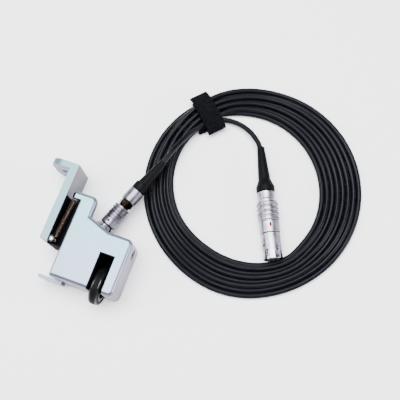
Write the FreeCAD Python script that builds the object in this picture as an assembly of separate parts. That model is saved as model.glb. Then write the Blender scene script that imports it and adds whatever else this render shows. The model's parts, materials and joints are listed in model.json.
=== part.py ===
"""Spring-loaded wheel encoder for an ultrasonic scanner, with its bracket, plugs and coiled cable.

All sizes are in millimetres. The encoder lies on its back: X runs across the housing, Y runs up
the housing away from the wheel, and Z runs up from the back to the front face. The pieces are
drawn from the housing's lower left corner and moved to the final origin when they are written.
"""

import FreeCAD
import Part
import math
import os

Vector = FreeCAD.Vector

# Housing block
housing_width = 40.7
housing_depth = 26.0
side_height = 36.4
neck_height = 54.2
neck_width = 10.2
neck_depth = 6.6
shoulder_length = 16.2
slope_angle = 20.0
front_wall = 2.2
side_wall = 2.4
bottom_wall = 2.6
slope_wall = 2.6
divider_wall = 3.4
corner_round = 3.6
front_edge_round = 2.4
left_edge_round = 1.2
flange_reach = 3.8
flange_thickness = 4.6

# Back cover
cover_thickness = 2.4
cover_edge_round = 1.8
gasket_thickness = 0.5
cover_screw_radius = 1.0
cover_screw_head_radius = 1.9
cover_screw_head_height = 1.2
cover_screw_grip = 3.4
cover_boss_radius = 2.0

# Wheel slot and its liner
slot_width = 9.8
slot_height = 23.5
slot_right_wall = 6.8
liner_thickness = 0.8
liner_recess = 0.5
liner_back = 0.6
well_floor = 0.9

# Wheel and shaft
wheel_radius = 11.5
wheel_reach = 6.4
wheel_axis_z = 13.4
hub_radius = 9.2
hub_width = 5.5
tyre_rib_width = 4.2
tyre_width = 6.4
tyre_depth = 2.9
tyre_corner = 1.6
shaft_radius = 1.5
shaft_collar_radius = 2.4
shaft_collar_width = 0.8
circlip_radius = 2.7
circlip_thickness = 0.5

# Ball bearings
bearing_radius = 3.5
bearing_width = 3.0
bearing_ring = 0.6
ball_count = 7
ball_clearance = 0.02
bearing_lip = 0.4

# Angle sensor
magnet_radius = 1.9
magnet_thickness = 2.0
holder_radius = 2.3
holder_length = 4.5
sensor_gap = 1.0
sensor_size = 4.0
sensor_thickness = 1.0
board_thickness = 1.6
board_standoff = 2.0
board_length = 27.0
board_width = 17.0
board_screw_radius = 0.8
board_screw_head_radius = 1.6
board_screw_head_height = 1.1
header_length = 11.0
header_width = 4.0
header_height = 3.2
wire_radius = 0.4
wire_rise = 2.6

# Side plug screw
side_plug_radius = 3.2
side_plug_shank = 2.4
side_plug_head = 1.6
side_plug_length = 6.0
side_plug_height = 29.7
side_plug_gap = 0.3

# Slide between housing and bracket
slide_gap = 9.2
rail_height = 3.2
rail_base = 7.0
rail_top = 10.0
rail_center = 10.0
rail_end_margin = 1.2
running_gap = 0.08
block_gap = 0.6
block_length = 31.4
block_back = 3.0
block_front = 23.6
pocket_floor = 16.8
block_lip = 1.0
block_left_lip = 0.6
block_left_lip_front = 24.4
block_bridge = 1.2
end_gap = 0.1
rail_screw_radius = 1.0
rail_screw_head_radius = 1.9
rail_screw_inset = 6.0
stop_plate_thickness = 2.0
stop_plate_overlap = 6.0
stop_plate_front = 14.0
stop_plate_depth = 9.0
stop_screw_radius = 0.9
stop_screw_head_radius = 1.6
stop_screw_spacing = 3.8

# Bracket
strip_thickness = 4.9
strip_length = 50.8
strip_step = 1.3
ear_thickness = 3.9
ear_reach = 13.9
ear_corner = 8.0
ear_hole_radius = 2.25
ear_hole_offset = 6.2
block_screw_radius = 1.5
block_screw_head_radius = 2.6
block_screw_head_height = 2.8
block_screw_inset = 5.5
block_screw_bite = 4.0

# Return spring
spring_radius = 1.75
spring_wire = 0.5
spring_height = 20.8
spring_post_radius = 0.8
spring_post_head_radius = 1.7
spring_post_head_height = 1.2
spring_post_room = 1.4
spring_post_grip = 3.0
spring_screw_radius = 0.9
spring_screw_head_radius = 2.1
spring_screw_head_height = 1.8
spring_screw_inset = 2.3
spring_screw_rise = 1.8
hook_gap = 0.1

# Panel socket on the sloping face
socket_height = 13.0
socket_radius = 4.4
socket_bore = 3.45
socket_back = 9.5
socket_front = 3.2
socket_bore_depth = 5.0
socket_flange_radius = 6.0
socket_flange_thickness = 1.4
socket_seal_thickness = 0.6
socket_nut_radius = 6.8
socket_nut_top_radius = 4.9
socket_nut_height = 3.0
socket_nut_notch = 1.6
insert_radius = 2.9
tower_radius = 2.1
tower_height = 2.0
contact_count = 5
contact_circle = 1.2
contact_radius = 0.55
contact_bore = 0.38
contact_tail = 2.0

# Near plug, measured along its own axis from the sloping face
near_nose_radius = 3.36
near_nose_wall = 1.1
near_nose_depth = 4.6
near_sleeve_start = 3.5
near_sleeve_length = 14.5
near_sleeve_radius = 5.25
near_barrel_radius = 3.6
near_barrel_gap = 0.1
near_collet_radius = 4.5
near_nut_start = 23.0
near_nut_length = 9.0
near_nut_radius = 5.0
near_thread_radius = 3.0
near_boot_length = 25.5
near_boot_radius = 4.75
near_boot_collar = 5.5
near_boot_waist = 3.85
near_boot_tip = 2.35
near_pin_radius = 0.32
near_dot_radius = 0.75
near_dot_at = 5.9
sleeve_travel = 1.5
ring_groove = 0.35
near_ring_count = 5

# Far plug, measured along its own axis from the ring of its boot
far_axis_height = 6.75
far_axis_start = (104.7, 98.6)
far_axis_angle = -66.0
far_boot_length = 29.4
far_boot_radius = 3.95
far_boot_tip = 2.4
far_ring_radius = 6.0
far_ring_start = -2.0
far_ring_end = 1.5
far_flare_length = 4.0
far_nut_radius = 5.1
far_nut_outer_radius = 5.55
far_nut_end = 11.6
far_sleeve_start = 8.6
far_grip_end = 21.0
far_sleeve_end = 28.8
far_sleeve_radius = 6.75
far_sleeve_smooth_radius = 6.4
far_sleeve_bore = 5.3
far_ring_count = 4
far_nose_end = 45.6
far_nose_radius = 6.1
far_nose_bore = 4.9
far_barrel_radius = 5.2
far_barrel_bore = 3.6
far_insert_recess = 1.2
far_insert_length = 14.0
far_contact_count = 7
far_contact_circle = 2.7
far_contact_radius = 0.7
far_key_width = 1.6
far_key_length = 4.6
far_window_radius = 0.8
far_window_at = 36.7
far_mark_at = 24.2
far_mark_length = 2.6
far_mark_width = 1.1
mark_depth = 0.5

# Cable, coil and tie
cable_radius = 1.7
boot_grip = 7.0
coil_outer_radius = 71.0
coil_outer_center = (95.6, 99.0)
coil_inner_long = 50.8
coil_inner_short = 46.8
coil_inner_turn = 131.4
coil_inner_center = (91.7, 98.4)
coil_height = 6.6
coil_edge_round = 2.4
tie_angle = 136.5
tie_width = 12.4
tie_thickness = 1.2
tie_room = 7.6
tie_head_width = 18.0
tie_head_height = 5.6
tie_play = 0.5
coil_plug_gap = 0.3

# Worked-out places
slot_left = housing_width - slot_right_wall - slot_width
slot_right = slot_left + slot_width
slot_middle = slot_left + slot_width / 2
divider_left = slot_left - divider_wall
shoulder_left = housing_width - shoulder_length
slope = math.tan(math.radians(slope_angle))
neck_foot = side_height + (shoulder_left - neck_width) * slope
left_height = side_height + shoulder_left * slope
neck_back = housing_depth - neck_depth
housing_back = cover_thickness + gasket_thickness
wheel_axis_y = wheel_radius - wheel_reach
strip_right = -slide_gap
strip_left = strip_right - strip_thickness
ear_left = strip_left - ear_reach
flange_foot = neck_height - flange_thickness
block_top = flange_foot - end_gap
block_foot = block_top - block_length
block_right = -block_gap
strip_foot = block_foot + strip_step
slide_travel = block_foot - end_gap
strip_top = strip_foot + strip_length
ear_foot = strip_top - ear_thickness
board_left = side_wall + board_standoff
board_right = board_left + board_thickness
board_foot = bottom_wall + 0.6
board_low_z = housing_back + 1.6
magnet_face = board_right + sensor_thickness + sensor_gap
shaft_left = magnet_face + magnet_thickness
shaft_right = slot_right + bearing_width + 1.1
box_left = ear_left
box_right = housing_width
box_foot = -wheel_reach
box_top = strip_top
origin = Vector((box_left + box_right) / 2, (box_foot + box_top) / 2, 0)

along_x = Vector(1, 0, 0)
along_y = Vector(0, 1, 0)
along_z = Vector(0, 0, 1)

os.makedirs("parts", exist_ok=True)


def write(name, shape):
    """Move a finished piece to the final origin and write it as its own node."""
    moved = shape.copy()
    moved.translate(origin.negative())
    moved.exportStep("parts/" + name + ".step")


def block(x0, x1, y0, y1, z0, z1):
    """Rectangular block between two corners."""
    return Part.makeBox(x1 - x0, y1 - y0, z1 - z0, Vector(x0, y0, z0))


def rod(start, direction, radius, length):
    """Round bar from a start point."""
    return Part.makeCylinder(radius, length, start, direction)


def ring(start, direction, outer, inner, length):
    """Round tube from a start point."""
    return rod(start, direction, outer, length).cut(rod(start, direction, inner, length))


def prism(corners, low, high):
    """Upright prism over a flat outline."""
    points = [Vector(x, y, low) for x, y in corners]
    face = Part.Face(Part.makePolygon(points + points[:1]))
    return face.extrude(Vector(0, 0, high - low))


def turned(profile):
    """Body of revolution about local Z from (station, radius) corners."""
    points = [Vector(radius, 0, station) for station, radius in profile]
    face = Part.Face(Part.makePolygon(points + points[:1]))
    return face.revolve(Vector(0, 0, 0), along_z, 360)


def joined(shapes):
    """One solid from touching or overlapping shapes."""
    whole = shapes[0]
    for shape in shapes[1:]:
        whole = whole.fuse(shape)
    return whole.removeSplitter()


def rounded(shape, radius, chosen):
    """Round the edges for which the chosen test is true."""
    edges = [edge for edge in shape.Edges if chosen(edge)]
    return shape.makeFillet(radius, edges)


def in_plane(edge, axis, place):
    """True where the whole edge lies in the plane across an axis at a place."""
    low = getattr(edge.BoundBox, axis + "Min")
    high = getattr(edge.BoundBox, axis + "Max")
    return abs(low - place) < 1e-4 and abs(high - place) < 1e-4


def frame_along(start, direction):
    """Local frame with Z along a level direction and X straight up."""
    turn = FreeCAD.Rotation(along_z, direction.cross(along_z), direction, "ZXY")
    return FreeCAD.Placement(start, turn)


def set_in(shape, frame):
    """Copy of a local shape placed in a frame."""
    copy = shape.copy()
    copy.Placement = frame.multiply(copy.Placement)
    return copy


def countersunk(start, direction, shank, head, length):
    """Flush screw whose cone starts at the given point."""
    cone_height = head - shank
    cone = Part.makeCone(head, shank, cone_height, start, direction)
    shank_start = start + direction * cone_height
    return cone.fuse(rod(shank_start, direction, shank, length - cone_height)).removeSplitter()


def group(shapes):
    """Separate solids kept together in one node."""
    return Part.makeCompound(shapes)


# Directions of the two plugs
near_direction = Vector(math.sin(math.radians(slope_angle)), math.cos(math.radians(slope_angle)), 0)
face_middle_x = (neck_width + shoulder_left) / 2
face_middle_y = (neck_foot + side_height) / 2
near_frame = frame_along(Vector(face_middle_x, face_middle_y, socket_height), near_direction)
far_direction = Vector(math.cos(math.radians(far_axis_angle)), math.sin(math.radians(far_axis_angle)), 0)
far_frame = frame_along(Vector(far_axis_start[0], far_axis_start[1], far_axis_height), far_direction)


def near_point(station):
    """Point on the near plug's axis."""
    return near_frame.multVec(Vector(0, 0, station))


def far_point(station):
    """Point on the far plug's axis."""
    return far_frame.multVec(Vector(0, 0, station))


# Housing outline and the hollow behind it
main_outline = [
    (0, 0),
    (housing_width, 0),
    (housing_width, side_height),
    (shoulder_left, side_height),
    (0, left_height),
]
neck_outline = [
    (0, side_height),
    (neck_width, side_height),
    (neck_width, neck_height),
    (-flange_reach, neck_height),
    (-flange_reach, flange_foot),
    (0, flange_foot),
]


def main_block(low, high):
    """Upright block over the housing's outline, with its two right corners rounded."""
    body = prism(main_outline, low, high)

    def right_corner(edge):
        return in_plane(edge, "X", housing_width) and edge.BoundBox.ZLength > 0.5 * (high - low)

    return rounded(body, corner_round, right_corner)


inner_drop = slope_wall / math.cos(math.radians(slope_angle))
hollow_right = shoulder_left + 1.0
hollow_step = slot_height + bottom_wall
hollow_outline = [
    (side_wall, bottom_wall),
    (divider_left, bottom_wall),
    (divider_left, hollow_step),
    (hollow_right, hollow_step),
    (hollow_right, side_height - slope - inner_drop),
    (side_wall, side_height + (shoulder_left - side_wall) * slope - inner_drop),
]

# Places of the back cover's screws: left wall, right wall and the block above the slot
cover_screw_places = [
    (side_wall, side_wall),
    (housing_width - slot_right_wall / 2, side_wall + 0.4),
    (housing_width - slot_right_wall / 2, slot_height - 2.5),
    (side_wall, left_height - 6.0),
    (slot_middle, side_height - 5.5),
]
cover_screw_tip = housing_back + cover_screw_grip


def slot_cut(low, high):
    """Space of the wheel slot, open at the bottom."""
    return block(slot_left, slot_right, -1, slot_height, low, high)


def screw_holes(radius, low, high):
    """Round holes at the back cover's screws."""
    return [rod(Vector(x, y, low), along_z, radius, high - low) for x, y in cover_screw_places]


def cover_bosses(low, high):
    """Round bosses at the screws that stand in the left wall."""
    bosses = []
    for x, y in cover_screw_places:
        if x == side_wall:
            bosses.append(rod(Vector(x, y, low), along_z, cover_boss_radius, high - low))
    return bosses


# Board stands and screws, as (height up the housing, depth) places on the board
board_top = board_foot + board_length
board_high_z = board_low_z + board_width
board_corner = 2.6
board_screw_places = [
    (board_foot + board_corner, board_high_z - board_corner),
    (board_top - board_corner, board_low_z + board_corner),
    (board_top - board_corner, board_high_z - board_corner),
]


def main_front_edge(edge):
    """Front edges along the right side, the shoulder, the slope and the neck; the bottom one follows them."""
    middle = edge.CenterOfMass
    on_right = middle.x > housing_width - 0.1
    on_top = middle.y > side_height - 0.1 and middle.x > 0.1
    on_neck_top = middle.y > neck_height - 0.1
    return in_plane(edge, "Z", housing_depth) and (on_right or on_top or on_neck_top)


def left_front_edge(edge):
    """Front edge along the left side, below the flange."""
    on_left = abs(edge.CenterOfMass.x) < 0.1
    return in_plane(edge, "Z", housing_depth) and on_left


def neck_corner(edge):
    """Upright edge at the neck's top right corner."""
    return in_plane(edge, "X", neck_width) and in_plane(edge, "Y", neck_height)


def neck_back_edge(edge):
    """Back edges along the neck's right side and top."""
    middle = edge.CenterOfMass
    on_right = middle.x > neck_width - 0.1
    on_top = middle.y > neck_height - 0.1
    return in_plane(edge, "Z", neck_back) and (on_right or on_top)


def housing():
    """Machined block with the hollow, the wheel slot, the bearing seats and all screw holes."""
    neck = prism(neck_outline, neck_back, housing_depth)
    neck = rounded(neck, corner_round, neck_corner)
    neck = rounded(neck, front_edge_round, neck_back_edge)
    body = joined([main_block(housing_back, housing_depth), neck])
    body = rounded(body, front_edge_round, main_front_edge)
    body = rounded(body, left_edge_round, left_front_edge)
    body = body.cut(prism(hollow_outline, housing_back - 1, housing_depth - front_wall))
    for boss in cover_bosses(housing_back, housing_depth - front_wall):
        body = body.fuse(boss)
    for y, z in board_screw_places:
        body = body.fuse(rod(Vector(side_wall - 0.2, y, z), along_x, board_screw_head_radius,
                             board_standoff + 0.2))
    body = body.cut(slot_cut(housing_back - 1, housing_depth + 1))
    left_seat = Vector(divider_left - 0.01, wheel_axis_y, wheel_axis_z)
    right_seat = Vector(slot_right - 0.01, wheel_axis_y, wheel_axis_z)
    bore_radius = bearing_radius - bearing_ring
    body = body.cut(rod(left_seat, along_x, bearing_radius, bearing_width + 0.01))
    body = body.cut(rod(left_seat, along_x, bore_radius, divider_wall + 1))
    body = body.cut(rod(right_seat, along_x, bearing_radius, bearing_width + 0.01))
    body = body.cut(rod(right_seat, along_x, bore_radius, bearing_width + 1.6))
    for hole in screw_holes(cover_screw_radius, housing_back - 1, cover_screw_tip):
        body = body.cut(hole)
    for y, z in board_screw_places:
        body = body.cut(rod(Vector(side_wall - 1.2, y, z), along_x, board_screw_radius, board_standoff + 2))
    socket_hole = rod(Vector(0, 0, -socket_back), along_z, socket_radius, socket_back + 9)
    body = body.cut(set_in(socket_hole, near_frame))
    body = body.cut(side_plug_space())
    for screw in rail_screw_solids():
        body = body.cut(screw)
    for screw in stop_screw_solids():
        body = body.cut(screw)
    body = body.cut(spring_post())
    return body.removeSplitter()


def rear_cover():
    """Back plate with rounded rear edges, a pocket behind the wheel and counterbored screw holes."""
    plate = main_block(0, cover_thickness)
    plate = rounded(plate, cover_edge_round, lambda edge: in_plane(edge, "Z", 0))
    plate = plate.cut(slot_cut(well_floor, cover_thickness + 1))
    for hole in screw_holes(cover_screw_radius, -1, cover_thickness + 1):
        plate = plate.cut(hole)
    for bore in screw_holes(cover_screw_head_radius, -1, cover_screw_head_height):
        plate = plate.cut(bore)
    return plate


def cover_gasket():
    """Flat seal that follows the housing's walls."""
    sheet = main_block(cover_thickness, housing_back)
    sheet = sheet.cut(prism(hollow_outline, cover_thickness - 1, housing_back + 1))
    for boss in cover_bosses(cover_thickness, housing_back):
        sheet = sheet.fuse(boss)
    sheet = sheet.cut(slot_cut(cover_thickness - 1, housing_back + 1))
    for hole in screw_holes(cover_screw_radius, cover_thickness - 1, housing_back + 1):
        sheet = sheet.cut(hole)
    return sheet.removeSplitter()


def cover_screws():
    """Pan screws of the back cover, sunk in their counterbores."""
    screws = []
    for x, y in cover_screw_places:
        head_start = Vector(x, y, 0.2)
        head = rod(head_start, along_z, cover_screw_head_radius - 0.1, cover_screw_head_height - 0.2)
        shank_start = Vector(x, y, cover_screw_head_height)
        shank = rod(shank_start, along_z, cover_screw_radius, cover_screw_tip - cover_screw_head_height)
        drive = rod(head_start, along_z, cover_screw_radius * 0.6, 0.6)
        screws.append(head.fuse(shank).cut(drive).removeSplitter())
    return group(screws)


def wheel_well_liner():
    """Black lining on the slot's sides, top and back, with holes for the bearings and shaft."""
    low = well_floor
    high = housing_depth - liner_recess
    outer = block(slot_left, slot_right, liner_recess, slot_height, low, high)
    inner = block(slot_left + liner_thickness, slot_right - liner_thickness, -1,
                  slot_height - liner_thickness, low + liner_back, high + 1)
    shell = outer.cut(inner)
    hole_start = Vector(slot_left - 1, wheel_axis_y, wheel_axis_z)
    return shell.cut(rod(hole_start, along_x, bearing_radius + 0.2, slot_width + 2))


def side_plug_space():
    """Counterbored threaded hole in the housing's right side."""
    face = Vector(housing_width + 1, side_plug_height, housing_depth / 2)
    inward = along_x.negative()
    head = rod(face, inward, side_plug_radius + side_plug_gap, side_plug_head + side_plug_gap + 1)
    return head.fuse(rod(face, inward, side_plug_shank, side_plug_length + 1))


def side_plug():
    """Screw plug with a hexagon socket in the housing's right side."""
    face = Vector(housing_width - side_plug_gap, side_plug_height, housing_depth / 2)
    inward = along_x.negative()
    body = rod(face, inward, side_plug_radius, side_plug_head)
    body = body.fuse(rod(face, inward, side_plug_shank, side_plug_length - side_plug_gap))
    corners = []
    for step in range(6):
        angle = math.radians(60 * step)
        reach = side_plug_shank * 0.6
        corners.append(face + Vector(0, reach * math.cos(angle), reach * math.sin(angle)))
    socket = Part.Face(Part.makePolygon(corners + corners[:1])).extrude(inward * side_plug_head)
    return body.removeSplitter().cut(socket)


# Slide between housing and bracket
rail_foot = rail_end_margin
rail_head = left_height - rail_end_margin
rail_screw_heights = [rail_foot + rail_screw_inset, rail_head - rail_screw_inset]


def dovetail(gap, low, high):
    """Dovetail bar on the housing's left side, grown by a running gap."""
    base = rail_base / 2 + gap
    top = rail_top / 2 + gap
    outer = -rail_height - gap
    corners = [(0, rail_center - base), (outer, rail_center - top), (outer, rail_center + top),
               (0, rail_center + base)]
    points = [Vector(x, low, z) for x, z in corners]
    face = Part.Face(Part.makePolygon(points + points[:1]))
    return face.extrude(Vector(0, high - low, 0))


def rail_screw_solids():
    """Flush screws that hold the rail to the housing."""
    length = rail_height + side_wall - 0.3
    return [countersunk(Vector(-rail_height, y, rail_center), along_x, rail_screw_radius,
                        rail_screw_head_radius, length) for y in rail_screw_heights]


def guide_rail():
    """Dovetail rail along the housing's left side."""
    rail = dovetail(0, rail_foot, rail_head)
    for screw in rail_screw_solids():
        rail = rail.cut(screw)
    return rail


def slide_block():
    """Black block that runs on the rail and carries the spring's lower end."""
    body = block(strip_right, block_right, block_foot, block_top, block_back, pocket_floor)
    bridge = block(strip_right, block_right, block_foot, block_foot + block_bridge, pocket_floor, block_front)
    lip = block(block_right - block_lip, block_right, block_foot, block_top, pocket_floor, block_front)
    left_lip = block(strip_right, strip_right + block_left_lip, block_foot, block_top, pocket_floor,
                     block_left_lip_front)
    body = joined([body, bridge, lip, left_lip])
    body = body.cut(dovetail(running_gap, block_foot - 1, block_top + 1))
    for screw in block_screw_solids():
        body = body.cut(screw)
    return body.cut(spring_screw())


def stop_screw_solids():
    """Flush screws of the stop plate."""
    middle = stop_plate_front - stop_plate_depth / 2 + 0.3
    places = [middle - stop_screw_spacing / 2, middle + stop_screw_spacing / 2]
    length = stop_plate_thickness + bottom_wall - 0.3
    start_x = stop_plate_overlap * 0.55
    return [countersunk(Vector(start_x, -stop_plate_thickness, z), along_y, stop_screw_radius,
                        stop_screw_head_radius, length) for z in places]


def stop_plate():
    """End stop of the slide, screwed under the housing's lower left corner."""
    plate = block(strip_right - 0.4, stop_plate_overlap, -stop_plate_thickness, 0,
                  stop_plate_front - stop_plate_depth, stop_plate_front)
    for screw in stop_screw_solids():
        plate = plate.cut(screw)
    return plate


# Bracket
block_screw_heights = [block_foot + block_screw_inset, block_top - block_screw_inset]


def block_screw_solids():
    """Cap screws through the bracket into the slide block."""
    screws = []
    for y in block_screw_heights:
        start = Vector(strip_left, y, rail_center)
        head = rod(start, along_x, block_screw_head_radius, block_screw_head_height)
        shank = rod(start, along_x, block_screw_radius, strip_thickness + block_screw_bite)
        drive = rod(start, along_x, block_screw_radius * 0.7, block_screw_head_height * 0.6)
        screws.append(head.fuse(shank).removeSplitter().cut(drive))
    return screws


def bracket():
    """Upright strip with a mounting ear at its top."""
    strip = block(strip_left, strip_right, strip_foot, strip_top, 0, housing_depth)
    ear = block(ear_left, strip_left + 1, ear_foot, strip_top, 0, housing_depth)

    def ear_end(edge):
        upright = abs(edge.BoundBox.YLength - ear_thickness) < 1e-4
        return upright and in_plane(edge, "X", ear_left)

    ear = rounded(ear, ear_corner, ear_end)
    body = joined([strip, ear])
    hole_start = Vector(strip_left - ear_hole_offset, ear_foot - 1, housing_depth / 2)
    body = body.cut(rod(hole_start, along_y, ear_hole_radius, ear_thickness + 2))
    for y in block_screw_heights:
        start = Vector(strip_left - 1, y, rail_center)
        body = body.cut(rod(start, along_x, block_screw_head_radius, block_screw_head_height + 1))
        body = body.cut(rod(start, along_x, block_screw_radius, strip_thickness + 2))
    return body


# Return spring between a screw in the flange's end and a screw on the slide block
spring_post_y = neck_height - flange_thickness / 2
spring_screw_x = strip_right + spring_screw_inset
spring_screw_y = block_foot + block_bridge + spring_screw_rise
spring_post_x = -flange_reach - spring_post_room / 2


def spring_post():
    """Shoulder screw in the flange's end that holds the spring's upper eye."""
    outward = along_x.negative()
    start = Vector(spring_post_grip - flange_reach, spring_post_y, spring_height)
    shank = rod(start, outward, spring_post_radius, spring_post_grip + spring_post_room)
    head_start = Vector(-flange_reach - spring_post_room, spring_post_y, spring_height)
    head = rod(head_start, outward, spring_post_head_radius, spring_post_head_height)
    drive = rod(head_start + outward * spring_post_head_height, along_x, spring_post_radius, 0.5)
    return shank.fuse(head).removeSplitter().cut(drive)


def spring_screw():
    """Shoulder screw in the slide block that holds the spring's lower hook."""
    foot = pocket_floor - 3.0
    head_low = housing_depth - spring_screw_head_height + 0.4
    axis_point = Vector(spring_screw_x, spring_screw_y, foot)
    shank = rod(axis_point, along_z, spring_screw_radius, head_low - foot)
    head_start = Vector(spring_screw_x, spring_screw_y, head_low)
    head = rod(head_start, along_z, spring_screw_head_radius, spring_screw_head_height)
    slot_half = spring_screw_head_radius * 0.18
    top = head_low + spring_screw_head_height
    drive = block(spring_screw_x - 3, spring_screw_x + 3, spring_screw_y - slot_half,
                  spring_screw_y + slot_half, top - 0.6, top + 1)
    return shank.fuse(head).removeSplitter().cut(drive)


def return_spring():
    """Close-wound extension spring as a sleeve with an eye at each end."""
    wire = spring_wire / 2
    low_eye = Vector(spring_screw_x, spring_screw_y, spring_height)
    high_eye = Vector(spring_post_x, spring_post_y, spring_height)
    line = high_eye - low_eye
    reach = line.Length
    line.normalize()
    low_eye_radius = spring_screw_radius + wire + hook_gap
    high_eye_radius = spring_post_radius + wire + hook_gap
    low_loop = Part.makeTorus(low_eye_radius, wire, low_eye, along_z)
    high_loop = Part.makeTorus(high_eye_radius, wire, high_eye, along_x)
    body_start = low_eye + line * (low_eye_radius + 1.2)
    body_length = reach - low_eye_radius - high_eye_radius - 2.4
    coil = ring(body_start, line, spring_radius, spring_radius - spring_wire, body_length)
    low_cap = rod(body_start, line, spring_radius, spring_wire)
    high_cap = rod(body_start + line * (body_length - spring_wire), line, spring_radius, spring_wire)
    low_stem = rod(low_eye + line * low_eye_radius, line, wire, 1.3)
    high_stem = rod(high_eye - line * high_eye_radius, line.negative(), wire, 1.3)
    return joined([coil, low_cap, high_cap, low_loop, high_loop, low_stem, high_stem])


# Wheel, shaft and bearings
def wheel_point(x):
    """Point on the wheel's axis."""
    return Vector(x, wheel_axis_y, wheel_axis_z)


hub_left = slot_middle - hub_width / 2
hub_right = slot_middle + hub_width / 2
tyre_left = slot_middle - tyre_width / 2
tyre_rib_left = slot_middle - tyre_rib_width / 2
tyre_seat = wheel_radius - tyre_depth


def wheel_hub():
    """Flanged hub with a groove for the tyre and a dished web."""
    hub = ring(wheel_point(hub_left), along_x, hub_radius, shaft_radius, hub_width)
    groove = ring(wheel_point(tyre_rib_left), along_x, hub_radius + 1, tyre_seat, tyre_rib_width)
    hub = hub.cut(groove)
    dish_outer = tyre_seat - 1.6
    dish_inner = shaft_radius + 2.0
    dish_depth = hub_width * 0.25
    hub = hub.cut(ring(wheel_point(hub_left), along_x, dish_outer, dish_inner, dish_depth))
    return hub.cut(ring(wheel_point(hub_right - dish_depth), along_x, dish_outer, dish_inner, dish_depth))


def wheel_tyre():
    """Rubber tyre with a rounded tread and a rib in the hub's groove."""
    tread = ring(wheel_point(tyre_left), along_x, wheel_radius, hub_radius, tyre_width)
    rib = ring(wheel_point(tyre_rib_left), along_x, hub_radius + 0.2, tyre_seat, tyre_rib_width)
    tyre = joined([tread, rib])

    def tread_corner(edge):
        return edge.BoundBox.YLength > 2 * wheel_radius - 0.1

    return rounded(tyre, tyre_corner, tread_corner)


def wheel_shaft():
    """Shaft with a collar on one side of the hub and a clip groove on the other."""
    shaft = rod(wheel_point(shaft_left), along_x, shaft_radius, shaft_right - shaft_left)
    collar = rod(wheel_point(hub_left - shaft_collar_width), along_x, shaft_collar_radius, shaft_collar_width)
    shaft = shaft.fuse(collar).removeSplitter()
    return shaft.cut(ring(wheel_point(hub_right), along_x, shaft_radius + 1, shaft_radius - 0.3,
                          circlip_thickness))


def hub_circlip():
    """Open retaining clip in the shaft's groove."""
    clip = ring(wheel_point(hub_right), along_x, circlip_radius, shaft_radius - 0.3, circlip_thickness)
    mouth = block(hub_right - 1, hub_right + 1, wheel_axis_y - 0.7, wheel_axis_y + 0.7, wheel_axis_z,
                  wheel_axis_z + circlip_radius + 1)
    return clip.cut(mouth)


def bearing(side, start_x):
    """Outer ring, inner ring and balls of one bearing."""
    outer = ring(wheel_point(start_x), along_x, bearing_radius, bearing_radius - bearing_ring, bearing_width)
    inner = ring(wheel_point(start_x), along_x, shaft_radius + bearing_ring, shaft_radius, bearing_width)
    race_inner = shaft_radius + bearing_ring
    race_outer = bearing_radius - bearing_ring
    ball_radius = (race_outer - race_inner) / 2 - ball_clearance
    circle = (race_outer + race_inner) / 2
    balls = []
    for step in range(ball_count):
        angle = 2 * math.pi * step / ball_count
        center = wheel_point(start_x + bearing_width / 2)
        center = center + Vector(0, circle * math.cos(angle), circle * math.sin(angle))
        balls.append(Part.makeSphere(ball_radius, center))
    write(side + "_bearing_outer", outer)
    write(side + "_bearing_inner", inner)
    write(side + "_bearing_balls", group(balls))


def magnet_holder():
    """Cup on the shaft's end that carries the magnet."""
    cup = rod(wheel_point(magnet_face), along_x, holder_radius, holder_length)
    cup = cup.cut(rod(wheel_point(magnet_face), along_x, magnet_radius, magnet_thickness))
    return cup.cut(rod(wheel_point(magnet_face), along_x, shaft_radius, holder_length + 1))


def sensor_magnet():
    """Round magnet that faces the angle sensor."""
    return rod(wheel_point(magnet_face), along_x, magnet_radius, magnet_thickness)


# Electronics in the hollow
header_foot = board_foot + board_length * 0.4
header_middle_z = wheel_axis_z


def circuit_board():
    """Board on three stands beside the magnet."""
    board = block(board_left, board_right, board_foot, board_top, board_low_z, board_high_z)
    for y, z in board_screw_places:
        board = board.cut(rod(Vector(board_left - 1, y, z), along_x, board_screw_radius, board_thickness + 2))
    return board


def board_screws():
    """Small pan screws of the board."""
    screws = []
    for y, z in board_screw_places:
        tip = Vector(side_wall - 1.2, y, z)
        shank = rod(tip, along_x, board_screw_radius, board_right - side_wall + 1.2)
        head = rod(Vector(board_right, y, z), along_x, board_screw_head_radius, board_screw_head_height)
        screws.append(shank.fuse(head).removeSplitter())
    return group(screws)


def angle_sensor():
    """Sensor chip opposite the magnet."""
    half = sensor_size / 2
    low_y = max(wheel_axis_y - half, board_foot)
    return block(board_right, board_right + sensor_thickness, low_y, wheel_axis_y + half,
                 wheel_axis_z - half, wheel_axis_z + half)


def board_header():
    """Plug-in block where the wires leave the board."""
    half = header_length / 2
    return block(board_right, board_right + header_height, header_foot, header_foot + header_width,
                 header_middle_z - half, header_middle_z + half)


def bent_path(points):
    """Straight runs joined by tangent arcs as wide as the runs allow, with the arc radii."""
    edges = []
    radii = []
    last = points[0]
    for before, corner, after in zip(points, points[1:], points[2:]):
        back_way = (before - corner).normalize()
        on_way = (after - corner).normalize()
        turn = math.pi - back_way.getAngle(on_way)
        reach = 0.45 * min((corner - before).Length, (after - corner).Length)
        radius = reach / math.tan(turn / 2)
        start = corner + back_way * reach
        end = corner + on_way * reach
        inward = (back_way + on_way).normalize()
        middle = corner + inward * (math.hypot(radius, reach) - radius)
        edges.append(Part.LineSegment(last, start).toShape())
        edges.append(Part.Arc(start, middle, end).toShape())
        radii.append(radius)
        last = end
    edges.append(Part.LineSegment(last, points[-1]).toShape())
    return Part.Wire(edges), radii


def tube(name, points, radius):
    """Round tube along a bent path."""
    path, radii = bent_path(points)
    profile = Part.Wire(Part.makeCircle(radius, points[0], points[1] - points[0]))
    solid = path.makePipeShell([profile], True, False)
    expected = math.pi * radius ** 2 * path.Length
    print(name, "length", round(path.Length, 1), "radii", [round(value, 1) for value in radii],
          "volume share", round(solid.Volume / expected, 4))
    return solid


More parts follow.
